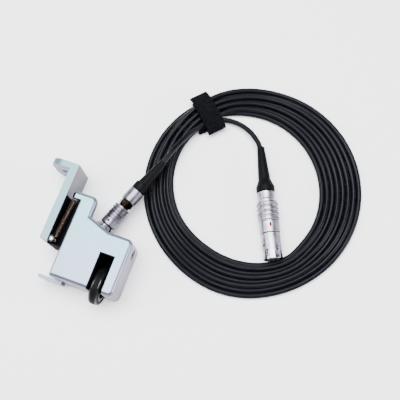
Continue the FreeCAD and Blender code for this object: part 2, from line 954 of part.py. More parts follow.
def contact_places(count, circle):
    """Contact places around a plug's axis, in its local frame."""
    places = []
    for step in range(count):
        angle = 2 * math.pi * step / count
        places.append((circle * math.cos(angle), circle * math.sin(angle)))
    return places


def signal_wires():
    """Wires from the board's header to the back of the socket's contacts."""
    wires = []
    top = header_foot + header_width
    middle_x = board_right + header_height / 2
    places = sorted(contact_places(contact_count, contact_circle))
    pitch = (header_length - 2) / (contact_count - 1)
    for step, (up, across) in enumerate(places):
        z = header_middle_z - (header_length - 2) / 2 + pitch * step
        start = Vector(middle_x, top, z)
        corner = Vector(middle_x, top + wire_rise, z)
        end = near_frame.multVec(Vector(up, across, -socket_back - contact_tail))
        run_in = near_frame.multVec(Vector(up, across, -socket_back - contact_tail - wire_rise))
        wires.append(tube("signal wire", [start, corner, run_in, end], wire_radius))
    return group(wires)


# Panel socket
flange_top = -slope_wall - socket_seal_thickness


def socket_shell():
    """Socket barrel with a flange behind the sloping wall."""
    flange_low = flange_top - socket_flange_thickness
    profile = [
        (-socket_back, insert_radius),
        (-socket_back, socket_radius),
        (flange_low, socket_radius),
        (flange_low, socket_flange_radius),
        (flange_top, socket_flange_radius),
        (flange_top, socket_radius),
        (socket_front, socket_radius),
        (socket_front, socket_bore),
        (-socket_bore_depth, socket_bore),
        (-socket_bore_depth, insert_radius),
    ]
    return set_in(turned(profile), near_frame)


def socket_seal():
    """Flat seal between the socket's flange and the wall."""
    return set_in(ring(Vector(0, 0, flange_top), along_z, socket_flange_radius, socket_radius,
                       socket_seal_thickness), near_frame)


def socket_nut():
    """Flared round nut with wrench notches, outside the sloping face."""
    profile = [
        (0, socket_radius),
        (0, socket_nut_radius),
        (socket_nut_height * 0.2, socket_nut_radius),
        (socket_nut_height, socket_nut_top_radius),
        (socket_nut_height, socket_radius),
    ]
    nut = turned(profile)
    half = socket_nut_notch / 2
    for step in range(4):
        notch = block(socket_radius + 0.9, socket_nut_radius + 1, -half, half, socket_nut_height * 0.3,
                      socket_nut_height + 1)
        notch.rotate(Vector(0, 0, 0), along_z, 90 * step)
        nut = nut.cut(notch)
    return set_in(nut, near_frame)


def socket_insert():
    """Insulator of the socket with a tower for the contacts."""
    base = rod(Vector(0, 0, -socket_back), along_z, insert_radius, socket_back - socket_bore_depth)
    tower = rod(Vector(0, 0, -socket_bore_depth), along_z, tower_radius, socket_bore_depth + tower_height)
    body = base.fuse(tower).removeSplitter()
    for x, y in contact_places(contact_count, contact_circle):
        body = body.cut(rod(Vector(x, y, -socket_back - 1), along_z, contact_radius, 30))
    return set_in(body, near_frame)


def socket_contacts():
    """Contact tubes of the socket."""
    foot = -socket_back - contact_tail
    contacts = []
    for x, y in contact_places(contact_count, contact_circle):
        barrel = rod(Vector(x, y, foot), along_z, contact_radius, tower_height - foot)
        hole = rod(Vector(x, y, -socket_back), along_z, contact_bore, 30)
        contacts.append(set_in(barrel.cut(hole), near_frame))
    return group(contacts)


# Near plug
near_sleeve_end = near_sleeve_start + near_sleeve_length
near_nose_bore = near_nose_radius - near_nose_wall
near_nut_end = near_nut_start + near_nut_length
near_boot_end = near_nut_end + near_boot_length
near_barrel_end = near_sleeve_end - 0.4
near_collet_start = near_barrel_end


def ringed(start, end, radius, count, depth):
    """Outline of a grip with shallow ring grooves, as (station, radius) corners."""
    corners = []
    pitch = (end - start) / count
    for step in range(count):
        low = start + pitch * step
        corners.append((low, radius - depth))
        corners.append((low + pitch * 0.25, radius - depth))
        corners.append((low + pitch * 0.4, radius))
        corners.append((low + pitch * 0.85, radius))
    corners.append((end, radius - depth))
    return corners


def near_plug_body():
    """Inner barrel of the near plug with the hollow nose that enters the socket."""
    profile = [
        (-near_nose_depth, near_nose_bore),
        (-near_nose_depth, near_nose_radius),
        (near_sleeve_start + 0.4, near_nose_radius),
        (near_sleeve_start + 0.4, near_barrel_radius),
        (near_barrel_end, near_barrel_radius),
        (near_barrel_end, near_nose_bore),
    ]
    return set_in(turned(profile), near_frame)


def near_plug_sleeve():
    """Ringed latch sleeve of the near plug."""
    bore = near_barrel_radius + near_barrel_gap
    grip_start = near_sleeve_start + near_sleeve_length * 0.29
    profile = [(near_sleeve_start, bore), (near_sleeve_start, near_sleeve_radius - 0.3),
               (near_sleeve_start + 0.3, near_sleeve_radius)]
    profile.append((grip_start, near_sleeve_radius))
    profile += ringed(grip_start + 0.3, near_sleeve_end, near_sleeve_radius, near_ring_count, ring_groove)
    profile.append((near_sleeve_end, bore))
    return set_in(turned(profile).cut(near_dot_local()), near_frame)


def near_dot_local():
    """Round index dot let into the top of the near sleeve."""
    top = near_sleeve_radius - mark_depth
    return rod(Vector(top, 0, near_dot_at), along_x, near_dot_radius, mark_depth + 0.05)


def near_plug_insert():
    """Insulator of the near plug."""
    low = tower_height + 0.6
    body = rod(Vector(0, 0, low), along_z, near_nose_bore, near_barrel_end - low - 1.0)
    for x, y in contact_places(contact_count, contact_circle):
        body = body.cut(rod(Vector(x, y, -9), along_z, near_pin_radius, 40))
    return set_in(body, near_frame)


def near_plug_pins():
    """Contact pins of the near plug, seated in the socket's contacts."""
    low = -near_nose_depth + 0.6
    high = near_barrel_end - 0.4
    pins = []
    for x, y in contact_places(contact_count, contact_circle):
        pins.append(set_in(rod(Vector(x, y, low), along_z, near_pin_radius, high - low), near_frame))
    return group(pins)


def near_collet():
    """Brass collet between barrel and nut, with flats where it shows."""
    bore = cable_radius
    sleeve_room = near_sleeve_end + sleeve_travel + 0.2
    profile = [
        (near_collet_start, bore),
        (near_collet_start, near_barrel_radius),
        (sleeve_room, near_barrel_radius),
        (sleeve_room, near_collet_radius),
        (near_nut_start - 0.1, near_collet_radius),
        (near_nut_start - 0.1, near_thread_radius),
        (near_nut_end - 2.2, near_thread_radius),
        (near_nut_end - 2.2, bore),
    ]
    collet = turned(profile)
    flat = near_collet_radius * 0.9
    for step in range(6):
        cutter = block(flat, flat + 2, -5, 5, near_collet_start - 1, near_nut_start - 0.1)
        cutter.rotate(Vector(0, 0, 0), along_z, 60 * step)
        collet = collet.cut(cutter)
    return set_in(collet, near_frame)


def near_collet_nut():
    """Smooth nut that clamps the cable at the near plug."""
    edge = 0.4
    neck = near_boot_tip + 0.05
    profile = [
        (near_nut_start, near_thread_radius),
        (near_nut_start, near_nut_radius - edge),
        (near_nut_start + edge, near_nut_radius),
        (near_nut_end - edge, near_nut_radius),
        (near_nut_end, near_nut_radius - edge),
        (near_nut_end, neck),
        (near_nut_end - 2.2, neck),
        (near_nut_end - 2.2, near_thread_radius),
    ]
    return set_in(turned(profile), near_frame)


def near_boot():
    """Tapered bend relief of the near plug, with a collar at its base."""
    edge = 0.4
    profile = [
        (near_nut_end - 2.0, cable_radius),
        (near_nut_end - 2.0, near_boot_tip),
        (near_nut_end, near_boot_tip),
        (near_nut_end, near_boot_radius - edge),
        (near_nut_end + edge, near_boot_radius),
        (near_nut_end + near_boot_collar - edge, near_boot_radius),
        (near_nut_end + near_boot_collar + edge, near_boot_waist),
        (near_boot_end, near_boot_tip),
        (near_boot_end, cable_radius),
    ]
    return set_in(turned(profile), near_frame)


# Far plug
def far_boot():
    """Bend relief of the far plug with a flared ring at its base."""
    profile = [
        (-far_boot_length, cable_radius),
        (-far_boot_length, far_boot_tip),
        (far_ring_start - far_flare_length - 1.0, far_boot_radius),
        (far_ring_start - 0.6, far_ring_radius - 0.3),
        (far_ring_start, far_ring_radius),
        (far_ring_end - 0.3, far_ring_radius),
        (far_ring_end, far_ring_radius - 0.3),
        (far_ring_end, cable_radius),
    ]
    return set_in(turned(profile), far_frame)


def far_collet_nut():
    """Smooth nut that clamps the cable at the far plug, thicker where the sleeve never covers it."""
    edge = 0.5
    step = far_sleeve_start - sleeve_travel - 0.3
    profile = [
        (far_ring_end, cable_radius),
        (far_ring_end, far_nut_outer_radius - edge),
        (far_ring_end + edge, far_nut_outer_radius),
        (step - edge, far_nut_outer_radius),
        (step, far_nut_radius),
        (far_nut_end, far_nut_radius),
        (far_nut_end, far_barrel_bore),
        (far_ring_end + 2.0, far_barrel_bore),
        (far_ring_end + 2.0, cable_radius),
    ]
    return set_in(turned(profile), far_frame)


def far_collet():
    """Brass collet inside the far nut."""
    low = far_ring_end + 2.0
    collet = ring(Vector(0, 0, low), along_z, far_barrel_bore, cable_radius, far_nut_end - low)
    return set_in(collet, far_frame)


def far_plug_sleeve():
    """Latch sleeve of the far plug: a ringed grip and a smooth front half."""
    profile = [(far_sleeve_start, far_sleeve_bore)]
    profile += ringed(far_sleeve_start, far_grip_end, far_sleeve_radius, far_ring_count, ring_groove)
    profile += [
        (far_grip_end + 0.3, far_sleeve_smooth_radius),
        (far_sleeve_end - 0.3, far_sleeve_smooth_radius),
        (far_sleeve_end, far_sleeve_smooth_radius - 0.3),
        (far_sleeve_end, far_sleeve_bore),
    ]
    return set_in(turned(profile).cut(far_mark_local()), far_frame)


def far_mark_local():
    """Index mark let into the top of the far sleeve."""
    top = far_sleeve_smooth_radius
    half = far_mark_width / 2
    return block(top - mark_depth, top + 0.05, -half, half, far_mark_at - far_mark_length / 2,
                 far_mark_at + far_mark_length / 2)


def far_plug_body():
    """Barrel and nose of the far plug, with two key slots and two latch windows."""
    shoulder = far_sleeve_end + 0.1
    edge = 0.4
    insert_foot = far_nose_end - far_insert_recess - far_insert_length
    profile = [
        (far_nut_end, far_barrel_bore),
        (far_nut_end, far_barrel_radius),
        (shoulder, far_barrel_radius),
        (shoulder, far_nose_radius - edge),
        (shoulder + edge, far_nose_radius),
        (far_nose_end - edge, far_nose_radius),
        (far_nose_end, far_nose_radius - edge),
        (far_nose_end, far_nose_bore),
        (insert_foot, far_nose_bore),
        (insert_foot, far_barrel_bore),
    ]
    body = turned(profile)
    half = far_key_width / 2
    for angle in (35, -25):
        key = block(far_nose_bore, far_nose_radius + 1, -half, half, far_nose_end - far_key_length - 1.6,
                    far_nose_end - 1.6)
        key.rotate(Vector(0, 0, 0), along_z, angle)
        body = body.cut(key)
    for angle in (60, -120):
        window = rod(Vector(far_nose_bore, 0, far_window_at), along_x, far_window_radius, 4)
        window.rotate(Vector(0, 0, 0), along_z, angle)
        body = body.cut(window)
    return set_in(body, far_frame)


def far_plug_insert():
    """Insulator of the far plug."""
    high = far_nose_end - far_insert_recess
    body = rod(Vector(0, 0, high - far_insert_length), along_z, far_nose_bore, far_insert_length)
    for x, y in contact_places(far_contact_count, far_contact_circle):
        body = body.cut(rod(Vector(x, y, high - far_insert_length - 1), along_z, far_contact_radius, 40))
    return set_in(body, far_frame)


def far_plug_contacts():
    """Contact tubes of the far plug."""
    high = far_nose_end - far_insert_recess
    low = high - far_insert_length - 2.0
    contacts = []
    for x, y in contact_places(far_contact_count, far_contact_circle):
        barrel = rod(Vector(x, y, low), along_z, far_contact_radius, high - low)
        hole = rod(Vector(x, y, high - 5.0), along_z, far_contact_radius * 0.6, 6.0)
        contacts.append(set_in(barrel.cut(hole), far_frame))
    return group(contacts)


# Cable, coil and tie
lead_in_points = [
    near_point(near_boot_end - boot_grip),
    near_point(near_boot_end + 2.0),
    Vector(39.9, 104.2, 11.7),
    Vector(42.9, 113.4, 9.2),
    Vector(46.3, 122.4, 5.4),
]
lead_out_points = [
    Vector(61.0, 139.3, 2.6),
    Vector(66.0, 138.9, 2.7),
    Vector(71.8, 138.6, 3.3),
    Vector(78.7, 136.6, 4.4),
    Vector(85.0, 133.1, 5.6),
    far_point(-far_boot_length - 0.8),
    far_point(-far_boot_length + boot_grip),
]


# The coil's inner oval is four arcs: two tight ones at the ends of its long axis, two flat ones between them
oval_end_radius = coil_inner_short ** 2 / coil_inner_long
oval_end_offset = coil_inner_long - oval_end_radius
oval_side_radius = ((oval_end_offset ** 2 + coil_inner_short ** 2 - oval_end_radius ** 2)
                    / (2 * (coil_inner_short - oval_end_radius)))


def oval_reach(angle):
    """Distance from the oval's middle to the arc at the end of its long axis, at an angle in degrees."""
    swing = math.radians(angle - coil_inner_turn)
    aside = oval_end_offset * math.sin(swing)
    return oval_end_offset * math.cos(swing) + math.sqrt(oval_end_radius ** 2 - aside ** 2)


def coil_oval():
    """Outline of the coil's open middle, around the origin with its long axis along x."""
    lean = math.atan2(abs(oval_side_radius - coil_inner_short), abs(oval_end_offset))
    join_x = oval_end_offset + oval_end_radius * math.cos(lean)
    join_y = oval_end_radius * math.sin(lean)
    joins = [Vector(join_x, -join_y, 0), Vector(join_x, join_y, 0),
             Vector(-join_x, join_y, 0), Vector(-join_x, -join_y, 0)]
    tops = [Vector(coil_inner_long, 0, 0), Vector(0, coil_inner_short, 0),
            Vector(-coil_inner_long, 0, 0), Vector(0, -coil_inner_short, 0)]
    arcs = []
    for number, top in enumerate(tops):
        arcs.append(Part.Arc(joins[number], top, joins[(number + 1) % len(joins)]).toShape())
    return Part.Wire(arcs)


tie_turn = math.radians(tie_angle)
tie_outward = Vector(math.cos(tie_turn), math.sin(tie_turn), 0)
tie_inner_edge = Vector(coil_inner_center[0], coil_inner_center[1], 0) + tie_outward * oval_reach(tie_angle)
tie_outer_edge = Vector(coil_outer_center[0], coil_outer_center[1], 0) + tie_outward * coil_outer_radius


def at_tie(shape):
    """Shape moved to the tie, its first axis turned across the coil's bundle."""
    shape.rotate(Vector(0, 0, 0), along_z, tie_angle)
    shape.translate(tie_inner_edge)
    return shape


def tie_box(grow, low, high):
    """Block across the coil's bundle at the tie."""
    reach = (tie_outer_edge - tie_inner_edge).dot(tie_outward)
    return at_tie(Part.makeBox(reach + 2 * grow, tie_width, high - low, Vector(-grow, -tie_width / 2, low)))


def cable_tie():
    """Flat strap looped around the coil's bundle, with a wider head at its inner side."""
    top = tie_thickness + tie_room
    outer = tie_box(tie_thickness, 0, top + tie_thickness)
    loop = outer.cut(tie_box(0, tie_thickness, top))
    head_corner = Vector(-tie_thickness, -tie_width / 2, 0)
    head = at_tie(Part.makeBox(tie_thickness, tie_head_width, tie_head_height, head_corner))
    return loop.fuse(head).removeSplitter()


def cable_coil():
    """Coil's bundle: round outside, oval inside, pressed flat at the tie and dented by the far plug."""
    outer = Part.makeCylinder(coil_outer_radius, coil_height, Vector(*coil_outer_center, 0))
    inner = Part.Face(coil_oval()).extrude(along_z * coil_height)
    inner.rotate(Vector(0, 0, 0), along_z, coil_inner_turn)
    inner.translate(Vector(*coil_inner_center, 0))
    bundle = outer.cut(inner)
    bundle = rounded(bundle, coil_edge_round, lambda edge: edge.BoundBox.ZLength < 1e-4)
    bundle = bundle.cut(tie_box(tie_thickness, 0, tie_thickness))
    pressed = 2 * coil_edge_round
    flat = Part.makeBox(pressed + tie_play, tie_head_width + 2 * tie_play, coil_height,
                        Vector(-pressed, -tie_width / 2 - tie_play, 0))
    bundle = bundle.cut(at_tie(flat))
    dent = rod(Vector(0, 0, far_sleeve_end), along_z, far_nose_radius + coil_plug_gap,
               far_nose_end + coil_plug_gap - far_sleeve_end)
    return bundle.cut(set_in(dent, far_frame))


def main():
    """Make every piece and write it to its own file."""
    print("origin", origin, "slide travel", round(slide_travel, 2))
    write("housing", housing())
    write("rear_cover", rear_cover())
    write("cover_gasket", cover_gasket())
    write("cover_screws", cover_screws())
    write("wheel_well_liner", wheel_well_liner())
    write("side_plug", side_plug())
    write("stop_plate", stop_plate())
    write("stop_plate_screws", group(stop_screw_solids()))
    write("guide_rail", guide_rail())
    write("rail_screws", group(rail_screw_solids()))
    write("spring_post", spring_post())
    write("return_spring", return_spring())
    bearing("left", divider_left)
    bearing("right", slot_right)
    write("circuit_board", circuit_board())
    write("angle_sensor", angle_sensor())
    write("board_header", board_header())
    write("board_screws", board_screws())
    write("signal_wires", signal_wires())
    write("socket_shell", socket_shell())
    write("socket_nut", socket_nut())
    write("socket_seal", socket_seal())
    write("socket_insert", socket_insert())
    write("socket_contacts", socket_contacts())
    write("wheel_hub", wheel_hub())
    write("wheel_tyre", wheel_tyre())
    write("wheel_shaft", wheel_shaft())
    write("hub_circlip", hub_circlip())
    write("magnet_holder", magnet_holder())
    write("sensor_magnet", sensor_magnet())
    write("bracket", bracket())
    write("slide_block", slide_block())
    write("block_screws", group(block_screw_solids()))
    write("spring_screw", spring_screw())
    write("near_plug_body", near_plug_body())
    write("near_plug_sleeve", near_plug_sleeve())
    write("near_index_dot", set_in(near_dot_local(), near_frame))
    write("near_plug_insert", near_plug_insert())
    write("near_plug_pins", near_plug_pins())
    write("near_collet", near_collet())
    write("near_collet_nut", near_collet_nut())
    write("near_boot", near_boot())
    write("far_boot", far_boot())
    write("far_collet_nut", far_collet_nut())
    write("far_collet", far_collet())
    write("far_plug_sleeve", far_plug_sleeve())
    write("far_index_mark", set_in(far_mark_local(), far_frame))
    write("far_plug_body", far_plug_body())
    write("far_plug_insert", far_plug_insert())
    write("far_plug_contacts", far_plug_contacts())
    write("cable_lead_in", tube("lead in", lead_in_points, cable_radius))
    write("cable_lead_out", tube("lead out", lead_out_points, cable_radius))
    write("cable_coil", cable_coil())
    write("cable_tie", cable_tie())


main()
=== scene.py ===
# Ultrasonic scanner encoder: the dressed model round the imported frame
import json
import math
from collections import namedtuple

import bmesh
import bpy
from mathutils import Matrix, Vector


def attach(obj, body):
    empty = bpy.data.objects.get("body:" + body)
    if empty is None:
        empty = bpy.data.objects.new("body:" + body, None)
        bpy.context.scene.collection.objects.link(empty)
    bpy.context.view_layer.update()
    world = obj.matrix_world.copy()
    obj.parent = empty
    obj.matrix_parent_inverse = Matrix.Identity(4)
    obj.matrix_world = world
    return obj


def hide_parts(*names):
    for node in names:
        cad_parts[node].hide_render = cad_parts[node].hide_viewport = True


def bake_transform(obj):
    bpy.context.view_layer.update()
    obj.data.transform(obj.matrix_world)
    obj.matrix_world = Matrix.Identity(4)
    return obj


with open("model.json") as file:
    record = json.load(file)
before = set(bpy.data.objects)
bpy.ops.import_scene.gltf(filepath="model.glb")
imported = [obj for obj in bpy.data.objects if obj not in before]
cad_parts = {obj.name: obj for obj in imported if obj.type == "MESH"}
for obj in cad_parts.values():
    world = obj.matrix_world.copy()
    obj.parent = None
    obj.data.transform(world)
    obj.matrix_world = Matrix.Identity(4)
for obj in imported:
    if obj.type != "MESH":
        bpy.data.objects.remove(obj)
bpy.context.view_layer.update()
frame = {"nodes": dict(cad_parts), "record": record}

mm = 0.001
full_turn = 2 * math.pi
origin = (0.0, 0.0, 0.0)
upright = Vector((0.0, 0.0, 1.0))

# Camera, at the photograph's viewing angle
camera_place = Vector((0.10875, -0.0545, 0.3757))
camera_tilt = math.radians(16.87)
camera_swing = math.radians(-25.4)
camera_roll = math.radians(-5.96)
camera_lens = 54.0
camera_sensor = 36.0
camera_nearest = 0.01
camera_farthest = 10.0


def add_camera():
    """Camera that looks down on the object, a little from the front."""
    level = Vector((math.cos(camera_swing), -math.sin(camera_swing), 0.0))
    ahead = Vector((
        math.sin(camera_swing) * math.sin(camera_tilt),
        math.cos(camera_swing) * math.sin(camera_tilt),
        -math.cos(camera_tilt),
    ))
    up = level.cross(ahead)
    right = level * math.cos(camera_roll) + up * math.sin(camera_roll)
    top = up * math.cos(camera_roll) - level * math.sin(camera_roll)
    lens = bpy.data.cameras.new("camera")
    lens.lens = camera_lens
    lens.sensor_width = camera_sensor
    lens.clip_start = camera_nearest
    lens.clip_end = camera_farthest
    camera = bpy.data.objects.new("camera", lens)
    bpy.context.scene.collection.objects.link(camera)
    turn = Matrix((right, top, -ahead)).transposed()
    camera.matrix_world = Matrix.Translation(camera_place) @ turn.to_4x4()
    bpy.context.scene.camera = camera


# Cable route in metres: out of the near boot, round the coil, into the far boot
cable_diameter = 3.4 * mm
lead_in = [
    (0.02827, 0.05456, 0.01300),
    (0.03135, 0.06301, 0.01300),
    (0.03355, 0.07230, 0.01170),
    (0.03655, 0.08150, 0.00920),
    (0.03995, 0.09050, 0.00700),
]
lead_out = [
    (0.04815, 0.10270, 0.00270),
    (0.05515, 0.10600, 0.00260),
    (0.06115, 0.10700, 0.00280),
    (0.06695, 0.10650, 0.00340),
    (0.07235, 0.10470, 0.00440),
    (0.07865, 0.10120, 0.00560),
    (0.08607, 0.09429, 0.00675),
    (0.08924, 0.08716, 0.00675),
]

# Coil's bundle: a round outer edge and an oval inner edge
coil_middle = Vector((0.08695, 0.0664))
coil_outer_center = Vector((0.08925, 0.0671))
coil_outer_radius = 71.0 * mm
coil_inner_center = Vector((0.08535, 0.0665))
coil_inner_long = 50.8 * mm
coil_inner_short = 46.8 * mm
coil_inner_turn = math.radians(131.4)

# Turns: upper ones rest on low ones near the tie and lie beside them where the bundle is wide.
# Their places are shares of the bundle's width. The cable changes place within a part of a turn,
# and after low_from turns it lies on the floor.
turn_count = 8
turn_ranks = (1, 3, 5, 7, 6, 4, 2, 0)
tight_shares = (0.0, 0.13, 0.265, 0.395, 0.53, 0.66, 0.80, 1.0)
loose_shares = (0.0, 0.140, 0.284, 0.424, 0.569, 0.711, 0.857, 1.0)
tight_width = 18.0 * mm
loose_width = 26.5 * mm
change_span = 0.17
low_from = 3.11

# The tie lifts the turns, the far plug's nose pushes them outward, and the coil's bottom lies slack
tie_angle = math.radians(136.5)
tie_lift = 1.1 * mm
tie_spread = math.radians(17.0)
nose_angle = math.radians(-49.0)
nose_spread = math.radians(11.0)
nose_push = 2.3 * mm
slack_spread = math.radians(24.0)
slack_outer_angle = math.radians(-82.0)
slack_outer_push = 1.8 * mm
slack_inner_angle = math.radians(-105.0)
slack_inner_push = -1.6 * mm

# Loose wandering of the turns: a slow wave and a quick one, counted in radians per turn
slow_wander = 0.14 * mm
slow_rate = 5.1
slow_start = 0.6
quick_wander = 0.08 * mm
quick_rate = 11.3
quick_start = 2.0
low_wander_share = 0.25

# A spline of order 3 runs inside the ring of its points: spline_pull is its share of the ring's radius
points_per_turn = 24
spline_pull = (3.0 + math.cos(full_turn / points_per_turn)) / 4.0


def ease(share):
    """Smooth step from 0 to 1."""
    share = min(max(share, 0.0), 1.0)
    return share * share * (3.0 - 2.0 * share)


def turned_away(angle, other):
    """Smallest angle between two directions."""
    return abs((angle - other + math.pi) % full_turn - math.pi)


def swelling(angle, middle, spread):
    """1 at the middle direction, falling to 0 past the spread."""
    return math.exp(-(turned_away(angle, middle) / spread) ** 2)


def edge_reach(center, long, short, turn, angle):
    """Distance from the coil's middle to an oval edge of the bundle."""
    offset = center - coil_middle
    way_x = math.cos(angle - turn) / long
    way_y = math.sin(angle - turn) / short
    off_x = (offset.x * math.cos(turn) + offset.y * math.sin(turn)) / long
    off_y = (offset.y * math.cos(turn) - offset.x * math.sin(turn)) / short
    square = way_x ** 2 + way_y ** 2
    along = way_x * off_x + way_y * off_y
    return (along + math.sqrt(along ** 2 - square * (off_x ** 2 + off_y ** 2 - 1.0))) / square


def coil_angle(wound):
    """Direction at which the cable lies after so many turns from the tie, clockwise from above."""
    return tie_angle - full_turn * wound


def lies_low(wound):
    """True where the cable lies on the floor, under the upper turns."""
    return wound > low_from


def bundle_edges(angle):
    """Inner and outer reach of the cable's line: pushed by the far plug's nose, slack at the bottom."""
    inner = edge_reach(coil_inner_center, coil_inner_long, coil_inner_short, coil_inner_turn, angle)
    inner += nose_push * swelling(angle, nose_angle, nose_spread)
    inner += slack_inner_push * swelling(angle, slack_inner_angle, slack_spread)
    outer = edge_reach(coil_outer_center, coil_outer_radius, coil_outer_radius, 0.0, angle)
    outer += slack_outer_push * swelling(angle, slack_outer_angle, slack_spread)
    return inner + cable_diameter / 2, outer - cable_diameter / 2


def place_across(rank, looseness):
    """Share of the bundle's width at which the turn of that rank lies."""
    tight = tight_shares[rank]
    return tight + (loose_shares[rank] - tight) * looseness


def wandering(wound):
    """Loose sideways wandering of the cable: none at the tie and little in the low turns."""
    freedom = (1.0 - math.cos(coil_angle(wound) - tie_angle)) / 2.0
    wander = slow_wander * math.sin(slow_rate * wound + slow_start)
    wander += quick_wander * math.sin(quick_rate * wound + quick_start)
    if lies_low(wound):
        wander *= low_wander_share
    return wander * freedom


def coil_reach(wound):
    """Distance of the cable's line from the coil's middle."""
    inner, outer = bundle_edges(coil_angle(wound))
    width = outer - inner
    looseness = ease((width + cable_diameter - tight_width) / (loose_width - tight_width))
    change = round(wound)
    before = place_across(turn_ranks[max(change - 1, 0)], looseness)
    after = place_across(turn_ranks[min(change, turn_count - 1)], looseness)
    share = ease((wound - change) / change_span + 0.5)
    return inner + width * (before + (after - before) * share) + wandering(wound)


def floor_height(wound):
    """Height of a low turn's line: it lifts a little where the tie passes under it."""
    return cable_diameter / 2 + tie_lift * swelling(coil_angle(wound), tie_angle, tie_spread)


def rest_height(wound):
    """Height of an upper turn's line: it rests on the low turns beneath it."""
    height = floor_height(wound)
    reach = coil_reach(wound)
    for turn in range(turn_count):
        below = wound % 1.0 + turn
        if lies_low(below):
            gap = abs(coil_reach(below) - reach)
            if gap < cable_diameter:
                height = max(height, floor_height(below) + math.sqrt(cable_diameter ** 2 - gap ** 2))
    return height


def coil_points():
    """Points of the coil's turns, from where the lead-in joins to where the lead-out leaves."""
    points = []
    for step in range(1, turn_count * points_per_turn):
        wound = step / points_per_turn
        angle = coil_angle(wound)
        reach = coil_reach(wound) / spline_pull
        height = floor_height(wound) if lies_low(wound) else rest_height(wound)
        points.append((
            coil_middle.x + reach * math.cos(angle),
            coil_middle.y + reach * math.sin(angle),
            height,
        ))
    return points


def add_line(name, route, thickness, steps, roundness):
    """A smooth line led by the route's points, with a round section and closed ends."""
    line = bpy.data.curves.new(name, "CURVE")
    line.dimensions = "3D"
    spline = line.splines.new("NURBS")
    spline.points.add(len(route) - 1)
    for point, place in zip(spline.points, route):
        point.co = (*place, 1.0)
    spline.order_u = 3
    spline.use_endpoint_u = True
    line.resolution_u = steps
    line.bevel_depth = thickness / 2
    line.bevel_resolution = roundness
    line.use_fill_caps = True
    piece = bpy.data.objects.new(name, line)
    bpy.context.scene.collection.objects.link(piece)
    return piece


def add_cable():
    """The whole cable as one line."""
    route = lead_in + coil_points() + lead_out
    return add_line("cable", route, cable_diameter, steps=8, roundness=5)


# Modelling by hand
def let_go():
    """Nothing selected."""
    bpy.ops.object.select_all(action="DESELECT")


def choose(piece, kind, test):
    """In edit mode, select the edges or faces whose middle passes the test."""
    bpy.ops.mesh.select_mode(type=kind)
    bpy.ops.mesh.select_all(action="DESELECT")
    mesh = bmesh.from_edit_mesh(piece.data)
    parts = mesh.edges if kind == "EDGE" else mesh.faces
    for part in parts:
        corners = [corner.co for corner in part.verts]
        part.select_set(test(sum(corners, Vector()) / len(corners)))
    bmesh.update_edit_mesh(piece.data)


def pull(x, y, z):
    """Extrude the selected edges by a step in millimetres."""
    step = {"value": (x * mm, y * mm, z * mm)}
    bpy.ops.mesh.extrude_edges_move(TRANSFORM_OT_translate=step)


def apply_modifier(piece, kind, **settings):
    """Add a modifier with its settings and apply it."""
    modifier = piece.modifiers.new(kind.lower(), kind)
    for name, value in settings.items():
        setattr(modifier, name, value)
    bpy.ops.object.modifier_apply(modifier=modifier.name)


# Hook-and-loop tie: a strap with a wide slotted head, threaded and folded back over itself.
# Its sizes are in millimetres, and its route runs outward from the coil's middle and up from the floor.
strap_width = 12.4
strap_thickness = 0.9
strap_smoothing = 3
strap_crease = math.radians(40.0)
head_height = 6.0
head_width = 18.6
head_rail = 2.0
head_shift = 2.8
head_lean = math.radians(61.0)
head_middle = (48.7, 3.3)
head_foot_height = 0.9
strap_route = [
    (50.2, 0.7), (53.0, 0.6), (61.0, 0.6), (67.8, 0.6), (70.6, 1.2), (71.6, 3.2), (71.2, 5.7), (69.6, 7.6),
    (66.5, 8.7), (62.0, 9.0), (57.5, 8.9), (54.2, 8.2), (51.4, 6.6), (49.8, 4.9), (48.8, 3.5), (47.9, 2.7),
    (47.1, 3.2), (46.8, 4.7), (47.4, 6.8), (49.6, 8.9), (53.0, 9.9), (57.5, 10.2), (62.5, 10.3), (67.0, 10.0),
    (70.6, 8.9), (73.4, 7.0), (75.8, 4.7),
]


def add_tie():
    """The tie round the coil's bundle."""
    let_go()
    bpy.ops.mesh.primitive_plane_add(size=1.0)
    tie = bpy.context.object
    tie.name = "hook_and_loop_tie"
    bpy.ops.object.mode_set(mode="EDIT")
    bpy.ops.transform.resize(value=(head_height * mm, head_width * mm, 1.0))
    bpy.ops.mesh.inset(thickness=head_rail * mm)
    bpy.ops.mesh.delete(type="FACE")
    bpy.ops.mesh.select_all(action="SELECT")
    bpy.ops.transform.rotate(value=head_lean, orient_axis="Y", center_override=origin)
    bpy.ops.transform.translate(value=(head_middle[0] * mm, head_shift * mm, head_middle[1] * mm))
    choose(tie, "EDGE", lambda place: place.z < head_foot_height * mm)
    before = strap_route[0]
    after = strap_route[1]
    pull(after[0] - before[0], -head_shift, 0.0)
    narrower = strap_width / head_width
    bpy.ops.transform.resize(value=(1.0, narrower, 1.0), center_override=origin)
    for here, there in zip(strap_route[1:], strap_route[2:]):
        pull(there[0] - here[0], 0.0, there[1] - here[1])
    bpy.ops.object.mode_set(mode="OBJECT")
    apply_modifier(
        tie, "SUBSURF", levels=strap_smoothing, render_levels=strap_smoothing,
        boundary_smooth="PRESERVE_CORNERS",
    )
    apply_modifier(tie, "SOLIDIFY", thickness=strap_thickness * mm, offset=0.0)
    bpy.ops.object.shade_smooth_by_angle(angle=strap_crease)
    tie.rotation_euler = (0.0, 0.0, tie_angle)
    tie.location = (*coil_middle, 0.0)
    bpy.ops.object.transform_apply(location=True, rotation=True, scale=True)
    return tie


# Return spring: close turns of wire with a hook at each end
spring_low = Vector((-0.01325, -0.0108, 0.0208))
spring_high = Vector((-0.01085, 0.0200, 0.0208))
spring_radius = 1.5 * mm
spring_wire = 0.5 * mm
spring_turns = 30
spring_turn_points = 12
spring_stem = 1.2 * mm
hook_radius = 1.25 * mm
hook_points = 13
hook_step = math.radians(25.0)
low_hook_start = math.radians(150.0)
high_hook_start = math.radians(-120.0)


